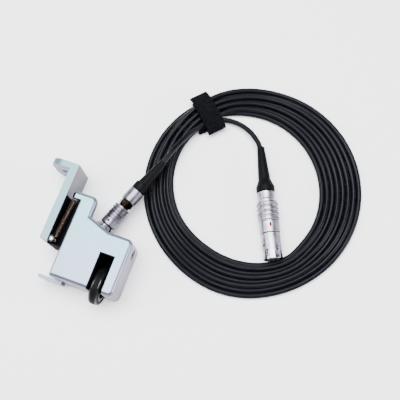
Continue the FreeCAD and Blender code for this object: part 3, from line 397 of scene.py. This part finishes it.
def spring_points():
    """Line of the spring's wire, from the lower hook to the upper one."""
    way = (spring_high - spring_low).normalized()
    side = way.cross(upright)
    points = []
    for step in range(hook_points):
        angle = low_hook_start - hook_step * step
        points.append(spring_low + (side * math.cos(angle) - way * math.sin(angle)) * hook_radius)
    start = spring_low + way * (hook_radius + spring_stem)
    end = spring_high - way * (hook_radius + spring_stem)
    last = spring_turns * spring_turn_points
    for step in range(last + 1):
        angle = full_turn * step / spring_turn_points
        along = start.lerp(end, step / last)
        points.append(along + (upright * math.cos(angle) + side * math.sin(angle)) * spring_radius)
    for step in range(hook_points):
        angle = high_hook_start + hook_step * step
        points.append(spring_high + (upright * math.cos(angle) + way * math.sin(angle)) * hook_radius)
    return points


def add_spring():
    """The extension spring along the slide block."""
    spring = add_line("return_spring_wire", spring_points(), spring_wire, steps=2, roundness=2)
    let_go()
    spring.select_set(True)
    bpy.context.view_layer.objects.active = spring
    bpy.ops.object.convert(target="MESH")
    return bpy.context.object


# Plugs: where each one's axis starts and points, and the rings of its latch sleeve's grip
Plug = namedtuple("Plug", "start way first_ring pitch rings radius teeth")
near_plug = Plug(
    start=Vector((0.0110, 0.00710, 0.013)), way=Vector((0.3420, 0.9397, 0.0)),
    first_ring=8.005 * mm, pitch=1.999 * mm, rings=5, radius=5.25 * mm, teeth=48,
)
far_plug = Plug(
    start=Vector((0.09835, 0.0667, 0.00675)), way=Vector((0.4067, -0.9135, 0.0)),
    first_ring=8.6 * mm, pitch=3.1 * mm, rings=4, radius=6.75 * mm, teeth=52,
)

# Grip teeth: a knurled band on each ring, its place and width as shares of the rings' pitch
band_middle = 0.625
band_width = 0.42
band_wall = 0.3 * mm
tooth_height = 0.14 * mm
tooth_length_share = 0.86


def add_grip(name, plug):
    """Knurled bands on the rings of a plug's sleeve."""
    tooth_step = math.pi / plug.teeth

    def on_tooth(place):
        """True for every other face round the band."""
        around = math.atan2(place.y, place.x) % full_turn
        return int(around / tooth_step) % 2 == 0

    bands = []
    for ring in range(plug.rings):
        let_go()
        bpy.ops.mesh.primitive_cylinder_add(
            vertices=plug.teeth * 2, radius=plug.radius, depth=plug.pitch * band_width,
            end_fill_type="NOTHING",
        )
        band = bpy.context.object
        bpy.ops.object.mode_set(mode="EDIT")
        choose(band, "FACE", on_tooth)
        bpy.ops.mesh.extrude_region_shrink_fatten(TRANSFORM_OT_shrink_fatten={"value": tooth_height})
        bpy.ops.transform.resize(value=(1.0, 1.0, tooth_length_share))
        bpy.ops.object.mode_set(mode="OBJECT")
        apply_modifier(band, "SOLIDIFY", thickness=band_wall, offset=-1.0)
        station = plug.first_ring + plug.pitch * (ring + band_middle)
        band.rotation_euler = plug.way.to_track_quat("Z", "Y").to_euler()
        band.location = plug.start + plug.way * station
        bpy.ops.object.transform_apply(location=True, rotation=True, scale=True)
        bands.append(band)
    let_go()
    for band in bands:
        band.select_set(True)
    bpy.context.view_layer.objects.active = bands[0]
    bpy.ops.object.join()
    grip = bpy.context.object
    grip.name = name
    return grip


# Finishes. Most of a cloudy noise lies within noise_range.
noise_range = (0.3, 0.7)
whole = (0.0, 1.0)
wheel_middle = Vector((0.02265, -0.0268, 0.0134))

# Edges show where a rounded surface turns away from the true one, painted shade where little open light comes
# in
edge_samples = 6
edge_turn = (0.97, 0.80)
hollow_shade_samples = 8
hollow_shade_light = (0.95, 0.55)

# Grooves between a grip's rings, with their place and half widths as shares of the rings' pitch.
# Their painted shade fades out past the first and the last groove.
groove_middle = 0.125
groove_core = 0.05
groove_rim = 0.12
groove_shade = 0.6
fade_start = 0.2 * mm
fade_end = 0.3 * mm


def set_stops(ramp, stops):
    """Give a colour ramp its (position, colour) stops."""
    bands = ramp.color_ramp.elements
    while len(bands) < len(stops):
        bands.new(0.5)
    for band, (position, color) in zip(bands, stops):
        band.position = position
        band.color = (*color, 1.0)


def darkened(color, share):
    """That share of a colour's brightness."""
    return tuple(part * share for part in color)


class Finish:
    """A material under way: its shader, its nodes and its place on the object."""

    def __init__(self, name, metallic):
        self.material = bpy.data.materials.new(name)
        self.material.use_nodes = True
        self.nodes = self.material.node_tree.nodes
        self.links = self.material.node_tree.links
        self.shader = self.nodes["Principled BSDF"]
        self.shader.inputs["Metallic"].default_value = metallic
        self.place = self.nodes.new("ShaderNodeTexCoord").outputs["Object"]

    def gloss(self, level):
        """How strongly a surface that isn't metal mirrors its surround."""
        self.shader.inputs["Specular IOR Level"].default_value = level

    def shifted(self, center, way, stretch):
        """Object place set on an axis through a point, with the third direction along the axis."""
        mapping = self.nodes.new("ShaderNodeMapping")
        mapping.vector_type = "TEXTURE"
        mapping.inputs["Location"].default_value = center
        mapping.inputs["Rotation"].default_value = way.to_track_quat("Z", "Y").to_euler()
        mapping.inputs["Scale"].default_value = stretch
        self.links.new(self.place, mapping.inputs["Vector"])
        return mapping.outputs["Vector"]

    def grain(self, scale, detail=3.0, roughness=0.5, place=None):
        """Cloudy noise over the surface."""
        noise = self.nodes.new("ShaderNodeTexNoise")
        noise.inputs["Scale"].default_value = scale
        noise.inputs["Detail"].default_value = detail
        noise.inputs["Roughness"].default_value = roughness
        self.links.new(place or self.place, noise.inputs["Vector"])
        return noise.outputs["Fac"]

    def cells(self, scale):
        """Distance to the nearest of many scattered spots."""
        spots = self.nodes.new("ShaderNodeTexVoronoi")
        spots.inputs["Scale"].default_value = scale
        self.links.new(self.place, spots.inputs["Vector"])
        return spots.outputs["Distance"]

    def spot(self, center, radius):
        """1 at a point of the object, falling to 0 at the radius round it."""
        ball = self.nodes.new("ShaderNodeTexGradient")
        ball.gradient_type = "SPHERICAL"
        self.links.new(self.shifted(center, upright, (radius, radius, radius)), ball.inputs["Vector"])
        return ball.outputs["Fac"]

    def along(self, axis, place=None):
        """Place along one axis of the object, in metres."""
        split = self.nodes.new("ShaderNodeSeparateXYZ")
        self.links.new(place or self.place, split.inputs["Vector"])
        return split.outputs[axis]

    def facing(self, axis):
        """How far the surface faces along one axis, from -1 to 1."""
        split = self.nodes.new("ShaderNodeSeparateXYZ")
        surface = self.nodes.new("ShaderNodeNewGeometry")
        self.links.new(surface.outputs["Normal"], split.inputs["Vector"])
        return split.outputs[axis]

    def span(self, value, before, after):
        """The value moved from one range to another and kept inside it."""
        remap = self.nodes.new("ShaderNodeMapRange")
        remap.inputs["From Min"].default_value = before[0]
        remap.inputs["From Max"].default_value = before[1]
        remap.inputs["To Min"].default_value = after[0]
        remap.inputs["To Max"].default_value = after[1]
        self.links.new(value, remap.inputs["Value"])
        return remap.outputs["Result"]

    def combine(self, first, second, operation="ADD"):
        """Two values put together."""
        math_node = self.nodes.new("ShaderNodeMath")
        math_node.operation = operation
        self.links.new(first, math_node.inputs[0])
        self.links.new(second, math_node.inputs[1])
        return math_node.outputs["Value"]

    def aside(self, across, middle):
        """Distance to either side of a middle value, in metres."""
        far = 50.0 * mm
        over = self.span(across, (middle, middle + far), (0.0, far))
        under = self.span(across, (middle, middle - far), (0.0, far))
        return self.combine(over, under, "MAXIMUM")

    def edges(self, radius):
        """1 along the part's edges and 0 on its flats."""
        soft = self.nodes.new("ShaderNodeBevel")
        soft.samples = edge_samples
        soft.inputs["Radius"].default_value = radius
        flat = self.nodes.new("ShaderNodeNewGeometry")
        across = self.nodes.new("ShaderNodeVectorMath")
        across.operation = "DOT_PRODUCT"
        self.links.new(soft.outputs["Normal"], across.inputs[0])
        self.links.new(flat.outputs["Normal"], across.inputs[1])
        return self.span(across.outputs["Value"], edge_turn, whole)

    def hollow_shade(self, reach):
        """Painted shade: 1 in grooves and corners, 0 on open surfaces."""
        hollow = self.nodes.new("ShaderNodeAmbientOcclusion")
        hollow.samples = hollow_shade_samples
        hollow.inputs["Distance"].default_value = reach
        return self.span(hollow.outputs["AO"], hollow_shade_light, whole)

    def ring_groove_shade(self, station, plug):
        """Painted shade in the grooves between the rings of a plug's grip, 0 elsewhere."""
        pitch = plug.pitch
        start = plug.first_ring + pitch * groove_middle
        length = pitch * plug.rings
        end = start + length
        zigzag = self.nodes.new("ShaderNodeMath")
        zigzag.operation = "PINGPONG"
        zigzag.inputs[1].default_value = pitch / 2
        from_start = self.span(station, (start - pitch, end), (-pitch, length))
        self.links.new(from_start, zigzag.inputs[0])
        half_widths = (groove_core * pitch, groove_rim * pitch)
        lines = self.span(zigzag.outputs["Value"], half_widths, (groove_shade, 0.0))
        after_start = self.span(station, (start - fade_end, start - fade_start), (0.0, 1.0))
        before_end = self.span(station, (end + fade_start, end + fade_end), (1.0, 0.0))
        within = self.combine(after_start, before_end, "MINIMUM")
        return self.combine(lines, within, "MINIMUM")

    def tint(self, value, *stops):
        """Colour of the surface along the value, from (position, colour) stops."""
        ramp = self.nodes.new("ShaderNodeValToRGB")
        set_stops(ramp, stops)
        self.links.new(value, ramp.inputs["Fac"])
        self.links.new(ramp.outputs["Color"], self.shader.inputs["Base Color"])

    def rough(self, value):
        """Roughness of the surface."""
        self.links.new(value, self.shader.inputs["Roughness"])

    def relief(self, value, depth, strength):
        """Small bumps of the given depth."""
        bump = self.nodes.new("ShaderNodeBump")
        bump.inputs["Strength"].default_value = strength
        bump.inputs["Distance"].default_value = depth
        self.links.new(value, bump.inputs["Height"])
        self.links.new(bump.outputs["Normal"], self.shader.inputs["Normal"])


# Metal. A satin that ends a metre along the axis covers the whole part.
satin_throughout = 1.0


def blasted_aluminium(name, inside_shade, roughness):
    """Bead-blasted, clear anodised aluminium with painted reflection: a cyan upper front turning lilac lower
    down, lilac sides and a painted dark line along the broken edges.

    The bracket's inner wall, which faces the housing, gets painted shade."""
    finish = Finish(name, metallic=0.92)
    cloud = finish.grain(140.0, detail=5.0, roughness=0.6)
    edge_wear_and_shade = finish.edges(0.5 * mm)
    # Painted reflection: the front's colour turns from lilac at the bottom to cyan at the top.
    height = finish.span(finish.along("Y"), (-35.0 * mm, 12.0 * mm), (0.40, 0.66))
    shade = finish.combine(height, finish.span(cloud, noise_range, (-0.015, 0.025)))
    # Painted reflection: faces turned away from the top take the lilac of the sides.
    sides = finish.span(finish.facing("Z"), (0.45, 0.95), (0.38, 0.0))
    shade = finish.combine(shade, sides, "SUBTRACT")
    # Painted shade: a darker line along the edges. The same edge mask makes the edges less rough, as wear.
    shade = finish.combine(shade, finish.span(edge_wear_and_shade, whole, (0.0, 0.16)), "SUBTRACT")
    # Painted shade on faces toward +X: the bracket's inner wall.
    if inside_shade > 0.0:
        inside = finish.span(finish.facing("X"), (0.5, 0.95), (0.0, inside_shade))
        shade = finish.combine(shade, inside, "SUBTRACT")
    # Colours of painted reflection and shade: dark at the low end for painted shade, lilac for the sides and
    # lower front, cyan for the upper front, pale at the top.
    finish.tint(
        shade,
        (0.0, (0.06, 0.054, 0.070)), (0.12, (0.215, 0.20, 0.255)), (0.40, (0.155, 0.17, 0.235)),
        (0.66, (0.115, 0.205, 0.23)), (1.0, (0.40, 0.43, 0.46)),
    )
    finish.rough(finish.span(finish.combine(cloud, edge_wear_and_shade, "SUBTRACT"), (-0.2, 0.8), roughness))
    finish.relief(finish.grain(7000.0, detail=2.0), depth=0.02 * mm, strength=0.35)
    return finish.material


def turned_nickel(name, plug, bright, roughness, satin_end=satin_throughout):
    """Satin nickel plating with faint turning lines round the plug's axis, polished past the satin's end.

    The grooves between the grip's rings and the corners get painted shade."""
    finish = Finish(name, metallic=1.0)
    around = finish.shifted(plug.start, plug.way, (1.0, 1.0, 0.06))
    lines = finish.grain(420.0, detail=4.0, roughness=0.7, place=around)
    smudge = finish.grain(320.0, detail=4.0, roughness=0.6)
    plated = finish.combine(
        finish.span(lines, (0.2, 0.8), (0.1, 0.5)), finish.span(smudge, (0.32, 0.68), (0.0, 0.5)),
    )
    station = finish.along("Z", finish.shifted(plug.start, plug.way, (1.0, 1.0, 1.0)))
    # Painted shade in hollows and in the grooves between the grip's rings, taken off the plating's colour
    groove_and_hollow_shade = finish.combine(finish.hollow_shade(0.8 * mm), finish.ring_groove_shade(station, plug), "MAXIMUM")
    finish.tint(
        finish.combine(plated, finish.span(groove_and_hollow_shade, whole, (0.0, 0.8)), "SUBTRACT"),
        (0.0, darkened(bright, 0.08)), (0.15, darkened(bright, 0.35)),
        (0.55, darkened(bright, 0.62)), (0.95, bright),
    )
    satin = finish.span(smudge, (0.3, 0.75), roughness)
    polish = finish.span(station, (satin_end, satin_end + 0.2 * mm), (1.0, 0.15))
    finish.rough(finish.combine(satin, polish, "MULTIPLY"))
    finish.relief(lines, depth=0.03 * mm, strength=0.4)
    return finish.material


def machined_steel():
    """Machined steel of the screws, the rail, the shaft and the bearings."""
    finish = Finish("machined_steel", metallic=1.0)
    streak = finish.grain(900.0, detail=5.0, roughness=0.65)
    finish.tint(streak, (0.3, (0.26, 0.27, 0.28)), (0.7, (0.44, 0.46, 0.46)))
    finish.rough(finish.span(streak, noise_range, (0.22, 0.38)))
    finish.relief(finish.grain(5000.0, detail=2.0), depth=0.01 * mm, strength=0.3)
    return finish.material


def bright_aluminium():
    """Bright turned aluminium of the magnet's holder, on the wheel's axis."""
    finish = Finish("bright_turned_aluminium", metallic=1.0)
    around = finish.shifted(wheel_middle, Vector((1.0, 0.0, 0.0)), (1.0, 1.0, 0.1))
    lines = finish.grain(500.0, detail=4.0, roughness=0.6, place=around)
    finish.tint(lines, (0.3, (0.74, 0.75, 0.77)), (0.7, (0.92, 0.92, 0.93)))
    finish.rough(finish.span(lines, noise_range, (0.16, 0.30)))
    finish.relief(lines, depth=0.02 * mm, strength=0.3)
    return finish.material


def spring_wire_steel():
    """Tempered spring wire: painted dark in the middle of the windings, with painted highlights along their
    flanks.
    """
    finish = Finish("spring_steel", metallic=1.0)
    axis_place = finish.shifted(spring_low, spring_high - spring_low, (1.0, 1.0, 1.0))
    aside = finish.aside(finish.along("X", axis_place), 0.0)
    flank_highlight = finish.span(aside, (0.4 * mm, 0.9 * mm), (0.0, 0.9))
    cloud = finish.grain(900.0, detail=4.0, roughness=0.6)
    # Painted highlight on the flanks, painted shade between them
    finish.tint(
        finish.combine(flank_highlight, finish.span(cloud, noise_range, (0.0, 0.1))),
        (0.0, (0.008, 0.006, 0.005)), (1.0, (0.60, 0.46, 0.36)),
    )
    finish.rough(finish.span(cloud, noise_range, (0.25, 0.40)))
    return finish.material


def screw_steel():
    """Oiled head of the spring's screw: a painted highlight round its slot, painted dark toward its rim."""
    head_top = Vector((spring_low.x, spring_low.y, 26.4 * mm))
    head_reach = 2.1 * mm
    finish = Finish("screw_steel", metallic=1.0)
    cloud = finish.grain(1400.0, detail=4.0, roughness=0.6)
    # Painted highlight: bright round the middle of the head, dark toward its rim
    head_highlight = finish.span(finish.spot(head_top, head_reach), (0.30, 0.65), (0.0, 0.8))
    finish.tint(
        finish.combine(head_highlight, finish.span(cloud, (0.35, 0.65), (0.0, 0.2))),
        (0.0, (0.003, 0.003, 0.004)), (0.4, (0.02, 0.02, 0.022)), (1.0, (0.30, 0.29, 0.31)),
    )
    finish.rough(finish.span(cloud, noise_range, (0.12, 0.30)))
    return finish.material


# Plastic, rubber and fabric
def black_plastic():
    """Hard black plastic with a fine moulded skin."""
    finish = Finish("hard_black_plastic", metallic=0.0)
    finish.gloss(0.02)
    scuff = finish.grain(260.0, detail=5.0, roughness=0.65)
    finish.tint(scuff, (0.35, (0.0012, 0.0012, 0.0016)), (0.75, (0.003, 0.003, 0.0036)))
    finish.rough(finish.span(scuff, noise_range, (0.60, 0.78)))
    finish.relief(finish.grain(2600.0), depth=0.02 * mm, strength=0.5)
    return finish.material


def soft_rubber(name, dark, light, roughness, scale, depth):
    """Black rubber: matte, finely grained and a little dusty."""
    finish = Finish(name, metallic=0.0)
    finish.gloss(0.05)
    dust = finish.grain(190.0, detail=6.0, roughness=0.65)
    finish.tint(dust, (0.35, dark), (0.8, light))
    finish.rough(finish.span(dust, noise_range, roughness))
    finish.relief(finish.grain(scale, detail=4.0, roughness=0.6), depth, strength=0.6)
    return finish.material


def tyre_rubber():
    """Black tyre: matte along the tread's middle, polished on its two shoulders."""
    finish = Finish("tyre_rubber", metallic=0.0)
    finish.gloss(0.06)
    finish.shader.inputs["Coat Roughness"].default_value = 0.10
    dust = finish.grain(190.0, detail=6.0, roughness=0.65)
    finish.tint(dust, (0.35, (0.0012, 0.0012, 0.0018)), (0.8, (0.004, 0.004, 0.0045)))
    aside = finish.aside(finish.along("X"), wheel_middle.x)
    past_tread = finish.span(aside, (1.5 * mm, 1.9 * mm), (0.0, 0.9))
    before_side = finish.span(aside, (2.9 * mm, 2.5 * mm), (0.0, 0.9))
    polished = finish.combine(past_tread, before_side, "MINIMUM")
    finish.links.new(polished, finish.shader.inputs["Coat Weight"])
    finish.rough(finish.span(dust, noise_range, (0.45, 0.7)))
    finish.relief(finish.grain(2200.0, detail=4.0, roughness=0.6), depth=0.03 * mm, strength=0.5)
    return finish.material


def cable_jacket():
    """Black satin cable jacket: glossier at the coil's two sides, a little wavy, with handling marks."""
    finish = Finish("cable_jacket", metallic=0.0)
    finish.gloss(0.08)
    marks = finish.grain(240.0, detail=5.0, roughness=0.6)
    patches = finish.grain(26.0, detail=2.0, roughness=0.4)
    aside = finish.aside(finish.along("X"), coil_middle.x)
    dull_middle = finish.span(aside, (60.0 * mm, 25.0 * mm), (0.0, 0.65))
    handled = finish.combine(finish.span(patches, (0.35, 0.65), (0.0, 0.35)), dull_middle)
    handled = finish.combine(handled, finish.span(marks, noise_range, (-0.1, 0.1)))
    finish.tint(marks, (0.3, (0.0012, 0.0013, 0.0024)), (0.75, (0.003, 0.0034, 0.0058)))
    finish.rough(finish.span(handled, whole, (0.09, 0.60)))
    waves = finish.combine(finish.grain(1800.0), finish.grain(120.0, detail=2.0))
    finish.relief(waves, depth=0.015 * mm, strength=0.3)
    return finish.material


def strap_fabric():
    """Dark hook-and-loop fabric with a fuzzy looped pile."""
    finish = Finish("strap_fabric", metallic=0.0)
    finish.gloss(0.02)
    finish.shader.inputs["Roughness"].default_value = 0.95
    pile = finish.cells(2300.0)
    fuzz = finish.grain(900.0, detail=6.0, roughness=0.75)
    finish.tint(
        finish.combine(finish.span(fuzz, noise_range, (0.0, 0.7)), finish.span(pile, (0.0, 0.6), (0.0, 0.3))),
        (0.0, (0.0008, 0.0008, 0.0011)), (0.5, (0.002, 0.002, 0.0025)), (1.0, (0.008, 0.008, 0.0095)),
    )
    finish.relief(finish.combine(pile, fuzz), depth=0.25 * mm, strength=0.8)
    return finish.material


def plain_detail(name, dark, light, metallic, roughness, scale, gloss=0.5):
    """A small part's finish: two close shades, clouded, with a faint skin."""
    finish = Finish(name, metallic)
    finish.gloss(gloss)
    cloud = finish.grain(scale, detail=4.0, roughness=0.6)
    finish.tint(cloud, (0.3, dark), (0.7, light))
    finish.rough(finish.span(cloud, noise_range, roughness))
    finish.relief(finish.grain(scale * 6.0, detail=2.0), depth=0.01 * mm, strength=0.4)
    return finish.material


# Nodes whose finish isn't their slot's
own_finishes = {
    "far_collet_nut": "far_nickel",
    "far_plug_sleeve": "far_nickel",
    "far_plug_body": "far_nickel",
    "bracket": "bracket_aluminium",
    "stop_plate": "bracket_aluminium",
    "socket_nut": "nut_nickel",
    "spring_screw": "screw_steel",
}


def make_finishes():
    """Every finish, by its slot or by its name in own_finishes."""
    return {
        "satin_aluminium": blasted_aluminium("blasted_aluminium", inside_shade=0.0, roughness=(0.28, 0.36)),
        "bracket_aluminium": blasted_aluminium("bracket_aluminium", inside_shade=0.22, roughness=(0.38, 0.50)),
        # The near plug's nickel is darker than the far plug's, and the socket nut's darker still: painted
        # shade.
        "nickel": turned_nickel(
            "near_plug_nickel", near_plug, bright=(0.27, 0.26, 0.31), roughness=(0.28, 0.46),
        ),
        "nut_nickel": turned_nickel(
            "socket_nut_nickel", near_plug, bright=(0.20, 0.19, 0.22), roughness=(0.08, 0.18),
        ),
        "far_nickel": turned_nickel(
            "far_plug_nickel", far_plug, bright=(0.51, 0.49, 0.56), roughness=(0.26, 0.42),
            satin_end=40.8 * mm,
        ),
        "steel": machined_steel(),
        "spring_steel": spring_wire_steel(),
        "screw_steel": screw_steel(),
        "bright_aluminium": bright_aluminium(),
        "dark_steel": plain_detail(
            "dark_steel", dark=(0.0015, 0.0015, 0.002), light=(0.016, 0.016, 0.018),
            metallic=1.0, roughness=(0.2, 0.4), scale=900.0,
        ),
        "black_anodised": plain_detail(
            "black_anodised", dark=(0.003, 0.003, 0.004), light=(0.008, 0.008, 0.010),
            metallic=0.0, roughness=(0.2, 0.35), scale=900.0,
        ),
        # The turned brass is coloured almost black: painted shade of the collet's recess.
        "brass": plain_detail(
            "turned_brass", dark=(0.001, 0.0008, 0.0005), light=(0.006, 0.0045, 0.0025),
            metallic=1.0, roughness=(0.10, 0.22), scale=600.0,
        ),
        "board_green": plain_detail(
            "board_green", dark=(0.01, 0.10, 0.04), light=(0.03, 0.22, 0.09),
            metallic=0.0, roughness=(0.25, 0.4), scale=700.0,
        ),
        "wire_grey": plain_detail(
            "wire_grey", dark=(0.22, 0.23, 0.25), light=(0.36, 0.37, 0.39),
            metallic=0.0, roughness=(0.3, 0.45), scale=500.0,
        ),
        "insulator": plain_detail(
            "insulator_plastic", dark=(0.10, 0.09, 0.08), light=(0.16, 0.15, 0.13),
            metallic=0.0, roughness=(0.4, 0.55), scale=700.0,
        ),
        "index_red": plain_detail(
            "index_red", dark=(0.04, 0.0005, 0.003), light=(0.07, 0.001, 0.006),
            metallic=0.0, roughness=(0.4, 0.5), scale=800.0, gloss=0.05,
        ),
        "black_plastic": black_plastic(),
        "rubber_seal": soft_rubber(
            "seal_rubber", dark=(0.002, 0.002, 0.003), light=(0.005, 0.005, 0.006),
            roughness=(0.5, 0.7), scale=3000.0, depth=0.02 * mm,
        ),
        "boot_rubber": soft_rubber(
            "boot_rubber", dark=(0.0012, 0.0012, 0.0016), light=(0.003, 0.003, 0.004),
            roughness=(0.40, 0.60), scale=1500.0, depth=0.05 * mm,
        ),
        "tyre_rubber": tyre_rubber(),
        "cable_jacket": cable_jacket(),
        "tie_fabric": strap_fabric(),
    }


def dress_nodes(finishes):
    """Give every part of the frame its finish."""
    for part in frame["record"]["subparts"]:
        finish = finishes[own_finishes.get(part["node"], part["material_slot"])]
        mesh = frame["nodes"][part["node"]].data
        mesh.materials.clear()
        mesh.materials.append(finish)


# Floor and light. The floor lies a hair under the object, so that the two don't share a plane.
floor_size = 3.0
floor_middle = (0.08, 0.05, -0.0002)
floor_color = (0.93, 0.93, 0.94, 1.0)
floor_roughness = 0.8
light_aim = Vector((0.07, 0.05, 0.0))

# Surround by height above the horizon: dim walls, a bright band, a dark ceiling round the overhead light
surround_strength = 3.5
surround_bands = [
    (0.00, (0.50, 0.47, 0.53)),
    (0.16, (0.70, 0.67, 0.74)),
    (0.24, (0.40, 0.38, 0.42)),
    (0.36, (0.11, 0.10, 0.115)),
    (0.88, (0.11, 0.10, 0.115)),
]


def add_floor():
    """Plain pale floor under the object."""
    let_go()
    bpy.ops.mesh.primitive_plane_add(size=floor_size, location=floor_middle)
    floor = bpy.context.object
    floor.name = "floor"
    bpy.ops.object.transform_apply(location=True)
    paint = bpy.data.materials.new("pale_floor")
    paint.use_nodes = True
    shader = paint.node_tree.nodes["Principled BSDF"]
    shader.inputs["Base Color"].default_value = floor_color
    shader.inputs["Roughness"].default_value = floor_roughness
    floor.data.materials.append(paint)


def add_surround():
    """Banded surround that lights the object from all sides."""
    world = bpy.data.worlds.new("studio")
    bpy.context.scene.world = world
    world.use_nodes = True
    nodes = world.node_tree.nodes
    links = world.node_tree.links
    surround = nodes["Background"]
    surround.inputs["Strength"].default_value = surround_strength
    height = nodes.new("ShaderNodeSeparateXYZ")
    links.new(nodes.new("ShaderNodeTexCoord").outputs["Generated"], height.inputs["Vector"])
    sky = nodes.new("ShaderNodeValToRGB")
    set_stops(sky, surround_bands)
    links.new(height.outputs["Z"], sky.inputs["Fac"])
    links.new(sky.outputs["Color"], surround.inputs["Color"])


def add_lamp(name, place, size, power, color):
    """Soft square light that faces the object."""
    light = bpy.data.lights.new(name, "AREA")
    light.size = size
    light.energy = power
    light.color = color
    lamp = bpy.data.objects.new(name, light)
    bpy.context.scene.collection.objects.link(lamp)
    lamp.location = place
    lamp.rotation_euler = (Vector(place) - light_aim).to_track_quat("Z", "Y").to_euler()


# Object
add_camera()
finishes = make_finishes()
dress_nodes(finishes)
tie = add_tie()
tie.data.materials.append(finishes["tie_fabric"])
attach(tie, "harness")
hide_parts("cable_tie")

spring = add_spring()
spring.data.materials.append(finishes["spring_steel"])
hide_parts("return_spring")
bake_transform(spring)

near_grip = add_grip("near_grip_teeth", near_plug)
far_grip = add_grip("far_grip_teeth", far_plug)
for grip, body, finish in (
    (near_grip, "near_sleeve", finishes["nickel"]),
    (far_grip, "far_sleeve", finishes["far_nickel"]),
):
    grip.data.materials.append(finish)
    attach(grip, body)

cable = add_cable()
cable.data.materials.append(finishes["cable_jacket"])
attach(cable, "harness")
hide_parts("cable_lead_in", "cable_coil", "cable_lead_out")

# Studio
add_floor()
add_surround()
add_lamp("overhead", place=(-0.06, 0.12, 1.0), size=0.9, power=42.0, color=(0.96, 0.99, 1.0))
add_lamp("right_strip", place=(1.05, 0.15, 0.30), size=0.4, power=10.0, color=(1.0, 0.98, 1.0))
add_lamp("side", place=(-0.8, -0.2, 0.6), size=0.5, power=7.0, color=(1.0, 0.97, 1.0))
